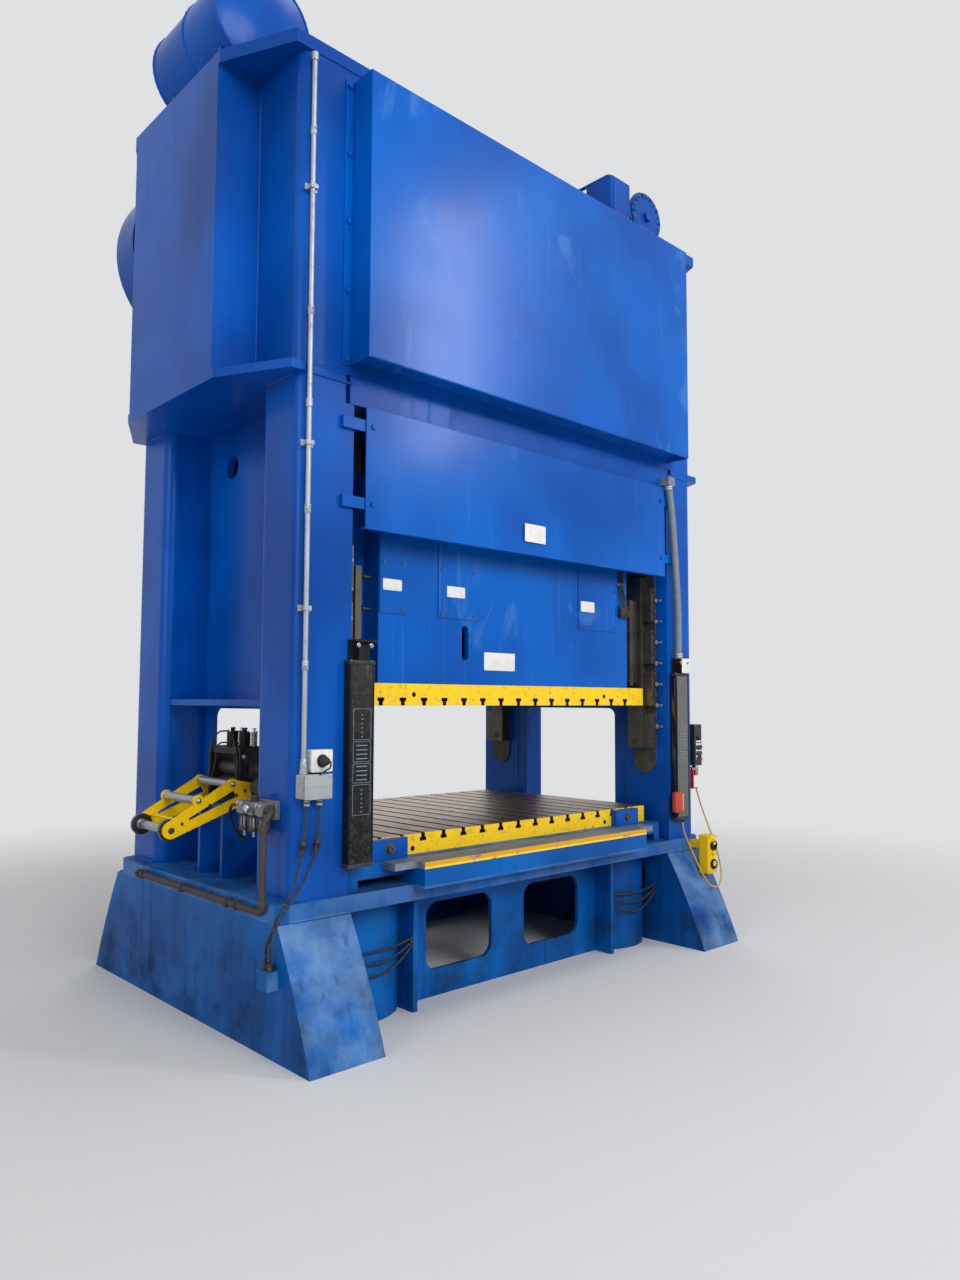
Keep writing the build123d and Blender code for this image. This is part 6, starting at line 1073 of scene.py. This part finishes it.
def makeFeeder():
    # an air tube leaves its cylinder at y = way * cylinder, goes outward by way and down behind the frame
    facts = feederFacts
    x, outside = facts["x"], facts["outside"]
    rim = turned([(0.026, 0), (0.026, 0.006), (0.022, 0.009), (0.012, 0.009), (0.011, 0.005)], 28)
    bearing = gather(slab(0.074, 0.062, 0.012, 0.012, 0.002), stamp(rim, (0, 0, 0.012)),
                     put(socketHead(0.005, 0.004), [-0.028, 0.028], [-0.022, 0.022], 0.012, "z"))
    piece("roll_bearings", "gearIron", put(bearing, x, outside, [facts["low"], facts["high"]], "y"),
          put(bearing, x, -outside, facts["high"]))
    coil = spring(facts["coil"], facts["wire"], facts["coilLength"], facts["turns"])
    piece("feeder_springs", "groundSteel", put(coil, facts["springX"], facts["springs"], facts["springZ"], "z"),
          sharp=180)
    rod = turned([(0.006, 0), (0.006, 0.096), (0.011, 0.096), (0.011, 0.104), (0.005, 0.106)], 14)
    fitting = turned([(0.008, 0), (0.008, 0.01), (0.0055, 0.011), (0.0055, 0.02)], 6)
    piece("feeder_hardware", "groundSteel", put(rod, facts["springX"], facts["springs"], facts["rodZ"], "z"),
          put(fitting, facts["fittingX"], [-facts["cylinder"], facts["cylinder"]], facts["fittings"], "-x"),
          bothFaces(hexHead(0.019, 0.011), facts["boltX"], outside, facts["boltZ"]))
    tubes = []
    for way in (-1, 1):
        y = way * facts["cylinder"]
        high = [(-1.522, y, 1.505), (-1.556, y + way * 0.01, 1.5), (-1.572, y + way * 0.05, 1.455),
                (-1.57, y + way * 0.085, 1.36), (-1.57, way * 0.162, 1.24), (-1.57, way * 0.166, 1.13)]
        low = [(-1.522, y, 1.44), (-1.549, y + way * 0.006, 1.437), (-1.561, y + way * 0.03, 1.41),
               (-1.56, y + way * 0.045, 1.33), (-1.5685, way * 0.15, 1.2), (-1.5685, way * 0.154, 1.13)]
        tubes += [sweep(flowing(route), facts["tube"]) for route in (high, low)]
    piece("feeder_air_tubes", "cordBlack", *tubes, sharp=180)
    # painted shade: thin black discs on both faces of the arms stand for the shade inside the holes
    hole = turned([(0.0095, 0), (0.0095, 0.0008), (0.008, 0.0012), (0.0068, 0.0008)], 20)
    piece("arm_hole_shade", "controlBlack", *[bothFaces(hole, across, facts["armY"], up) for across, up in facts["holes"]])
    nut = gather(turned([(0.015, 0), (0.015, 0.003)], 20),
                 turned([(0.0125, 0.003), (0.0125, 0.011), (0.011, 0.012)], 6),
                 turned([(0.006, 0.012), (0.006, 0.018), (0.005, 0.019)], 12))
    wheel = turned([(0.016, 0), (0.016, 0.004), (0.01, 0.006), (0.01, 0.012)], 24)
    for label, form, kind, finish in (("mid", nut, "nuts", "groundSteel"), ("top", nut, "nuts", "groundSteel"),
                                      ("low", wheel, "caps", "gearIron")):
        across, up = facts["rollers"][label]
        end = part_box(label + "_support_roller")[1][1] - 0.001
        piece(f"{label}_roller_{kind}", finish, bothFaces(form, across, end, up), body=label + "_roller")


# Machinery on the crown and behind it, and one large socket screw with its washer on each bolster clamp.
topFacts = {"motorX": -0.33, "motorZ": 5.329, "motorRadius": 0.205, "motorLength": 0.46, "fins": 30, "fin": 0.014,
            "rods": (1.56, 0.66), "roof": 5.0598, "guardX": -1.1999, "guardZ": 4.6629, "guardRadius": 0.565,
            "tankX": -1.398, "tankZ": 5.375, "pumpX": 1.29, "pumpZ": 5.25, "clampX": 1.0275, "clampZ": 0.89,
            "screw": 0.021, "screwHeight": 0.016, "finStart": 0.4, "lidY": 0.62, "lidScrews": (0.06, (0.57, 0.67)),
            "valveY": -0.34, "gaugeY": -0.1, "ringY": (-0.835, -0.66), "pumpBolt": (-0.845, 0.15),
            "foot": (0.17, (0.42, 0.8), 5.0795)}


def makeTopDetails():
    # guard bolt k: middle + radius * (sin a, cos a), a = -190 + k * 200 / 12 degrees
    facts = topFacts
    x, z, radius = facts["motorX"], facts["motorZ"], facts["motorRadius"]
    low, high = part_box("main_motor")
    fin = put(slab(0.005, facts["fin"] * 2, facts["motorLength"], 0.002, 0.001), x,
              facts["finStart"], z + radius, "y")
    piece("motor_fins", "pressBlue", turnAbout(fin, (x, 0, z), "y", facts["fins"], span=270, start=-135))
    # painted shade: thin black slabs on the fan end stand for the shade inside the cover's slots
    slot = stamp(slab(0.01, 0.072, 0.002, 0.004, 0.0006), (0, 0.105, 0))
    piece("motor_fan_slot_shade", "controlBlack", put(turnAbout(slot, (0, 0, 0), "z", 20), x, low[1] + 0.0045, z))
    across, places = facts["lidScrews"]
    piece("motor_terminal_lid", "greyBox",
          put(slab(0.15, 0.13, 0.012, 0.008, 0.002), x, facts["lidY"], high[2] - 0.0005, "z"),
          put(hexHead(0.014, 0.008), [x - across, x + across], places, high[2] + 0.011, "z"))
    washer = turned([(0.118, 0), (0.124, 0.004), (0.124, 0.016), (0.118, 0.02)], 40)
    rodX, rodY = facts["rods"]
    piece("crown_top_bolts", "gibSteel", put(washer, [-rodX, rodX], [-rodY, rodY], facts["roof"], "z"))
    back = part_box("flywheel_guard")[1][1] - 0.001
    angle = np.radians(-190 + np.arange(12) * 200 / 12)
    places = np.column_stack([facts["guardX"] + facts["guardRadius"] * np.sin(angle), np.full(12, back),
                              facts["guardZ"] + facts["guardRadius"] * np.cos(angle)])
    piece("flywheel_guard_bolts", "gibSteel", stamp(hexHead(0.022, 0.013), places, "y"))
    valve = turned([(0.022, 0), (0.022, 0.02), (0.015, 0.024), (0.015, 0.05), (0.019, 0.054), (0.019, 0.09),
                    (0.01, 0.096), (0.01, 0.108)], 20)
    gauge = turned([(0.008, 0), (0.008, 0.022), (0.04, 0.024), (0.042, 0.03), (0.042, 0.048), (0.039, 0.052),
                    (0.036, 0.048)], 36)
    tankX, tankZ = facts["tankX"], facts["tankZ"]
    piece("tank_fittings", "groundSteel", put(valve, tankX, facts["valveY"], tankZ, "x"),
          put(gauge, tankX, facts["gaugeY"], tankZ, "x"))
    face = turned([(0.0355, 0), (0.0355, 0.001)], 36)
    piece("tank_gauge_dial", "paleLabel", put(face, tankX + 0.0478, facts["gaugeY"], tankZ, "x"))
    pumpX, pumpZ = facts["pumpX"], facts["pumpZ"]
    ring = turned([(0.176, 0), (0.181, 0.004), (0.181, 0.014), (0.176, 0.018)], 48)
    piece("pump_rings", "pressBlue", put(ring, pumpX, facts["ringY"], pumpZ, "y"))
    front, out = facts["pumpBolt"]
    bolt = put(hexHead(0.018, 0.01), pumpX, front, pumpZ + out)
    across, places, level = facts["foot"]
    foot = put(hexHead(0.036, 0.022), [x - across, x + across], places, level, "z")
    piece("pump_bolts", "gibSteel", turnAbout(bolt, (pumpX, 0, pumpZ), "y", 10), foot)
    radius, height = facts["screw"], facts["screwHeight"]
    screw = turned([(1.5, 0), (1.5, 0.003), (1.1, 0.004), (1, 0.004), (1, height - 0.002), (0.94, height),
                    (0.5, height), (0.48, height - 0.006)], 30, radius)
    piece("clamp_bolts", "gibSteel", put(screw, [-facts["clampX"], facts["clampX"]],
                                         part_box("bolster_clamps")[0][1], facts["clampZ"]))


makeWelds()
makePlates()
makeSlideDetails()
makeGibDetails()
makeWallCables()
makeCurtains()
print("welds, plates, slide, gibs and curtains made")
makeConduitFittings()
makeBoxes()
makeAirDetails()
makeControls()
print("conduit, boxes, air unit and controls made")
makeFeeder()
makeTopDetails()
print("feeder, top and bolts made")


# Studio: the floor is blended into the backdrop between two distances in metres.
studio = {"floorSide": 60.0, "floorColour": (0.66, 0.66, 0.655), "background": (0.74, 0.75, 0.765),
          "worldColour": (0.94, 0.96, 1.0), "worldLevel": 0.34, "blendNear": 3.6, "blendFar": 8.5}
# lamps: place, the point looked at, size in metres, power in watts
lamps = {
    "key_light": ((-2.5, -15.0, 9.0), (0, 0, 2.8), (8.0, 6.0), 1450.0),
    "fill_light": ((-15.0, -4.0, 6.0), (0, 0, 2.4), (7.0, 7.0), 480.0),
    "gloss_light": ((8.4, -11.8, 9.4), (-0.7, -1.1, 3.4), (1.4, 5.0), 420.0),
    "top_light": ((0.0, -1.0, 13.0), (0, 0, 2.0), (9.0, 7.0), 480.0),
    "back_light": ((9.0, 11.0, 8.0), (0, 0, 3.0), (7.0, 6.0), 300.0),
}


def seenRays(tree):
    # 1 for rays that come from the camera or mirror or pass through something
    path = tree.nodes.new("ShaderNodeLightPath")
    camera, glossy, through = (Wire(tree, path.outputs[k]) for k in ("Is Camera Ray", "Is Glossy Ray",
                                                                     "Is Transmission Ray"))
    return camera.most(glossy).most(through)


def makeFloor():
    # share of backdrop = step(distance from the press, near, far), for rays that see or mirror it
    side, colour = studio["floorSide"], studio["floorColour"]
    mesh = bpy.data.meshes.new("studio_floor")
    mesh.from_pydata([(-side, -side, 0), (side, -side, 0), (side, side, 0), (-side, side, 0)], [], [(0, 1, 2, 3)])
    floor = link("studio_floor", mesh)
    f = Finish("studio floor", rough=0.9)
    f.put(base=f.mix(f.noise(2.5, 3.0) * 0.25, colour, tuple(c * 0.95 for c in colour)))
    x, y, z = f.axes()
    share = (x * x + y * y).root().step(studio["blendNear"], studio["blendFar"]) * seenRays(f.tree)
    glow = f.node("ShaderNodeEmission", None, {"Color": studio["background"]})
    blend = f.node("ShaderNodeMixShader", None, {0: share, 1: f.shader.outputs[0], 2: glow.outputs[0]})
    f.tree.links.new(blend.outputs[0], f.output.inputs[0])
    mesh.materials.append(f.material)


def areaLight(name, place, target, size, power):
    # a rectangle whose own -Z points from its place to the target
    data = bpy.data.lights.new(name, "AREA")
    data.shape = "RECTANGLE"
    data.size, data.size_y = size
    data.energy = power
    lamp = link(name, data)
    lamp.location = place
    lamp.rotation_mode = "QUATERNION"
    lamp.rotation_quaternion = (Vector(target) - Vector(place)).to_track_quat("-Z", "Y")


def makeWorld():
    # rays that see or mirror the world get the backdrop's colour, all others its soft light
    world = bpy.data.worlds.new("studio")
    bpy.context.scene.world = world
    world.use_nodes = True
    tree = world.node_tree
    tree.nodes.clear()
    out = tree.nodes.new("ShaderNodeOutputWorld")
    shown, light = (tree.nodes.new("ShaderNodeBackground") for k in range(2))
    share = seenRays(tree)
    blend = tree.nodes.new("ShaderNodeMixShader")
    for slot, value in ((shown.inputs[0], studio["background"]), (light.inputs[0], studio["worldColour"]),
                        (light.inputs[1], studio["worldLevel"]), (blend.inputs[0], share),
                        (blend.inputs[1], light.outputs[0]), (blend.inputs[2], shown.outputs[0]),
                        (out.inputs[0], blend.outputs[0])):
        plug(tree, slot, value)


makeFloor()
makeWorld()
for lampName, lampRow in lamps.items():
    areaLight(lampName, *lampRow)
bpy.context.scene.view_settings.view_transform = "Standard"
print("studio ready")
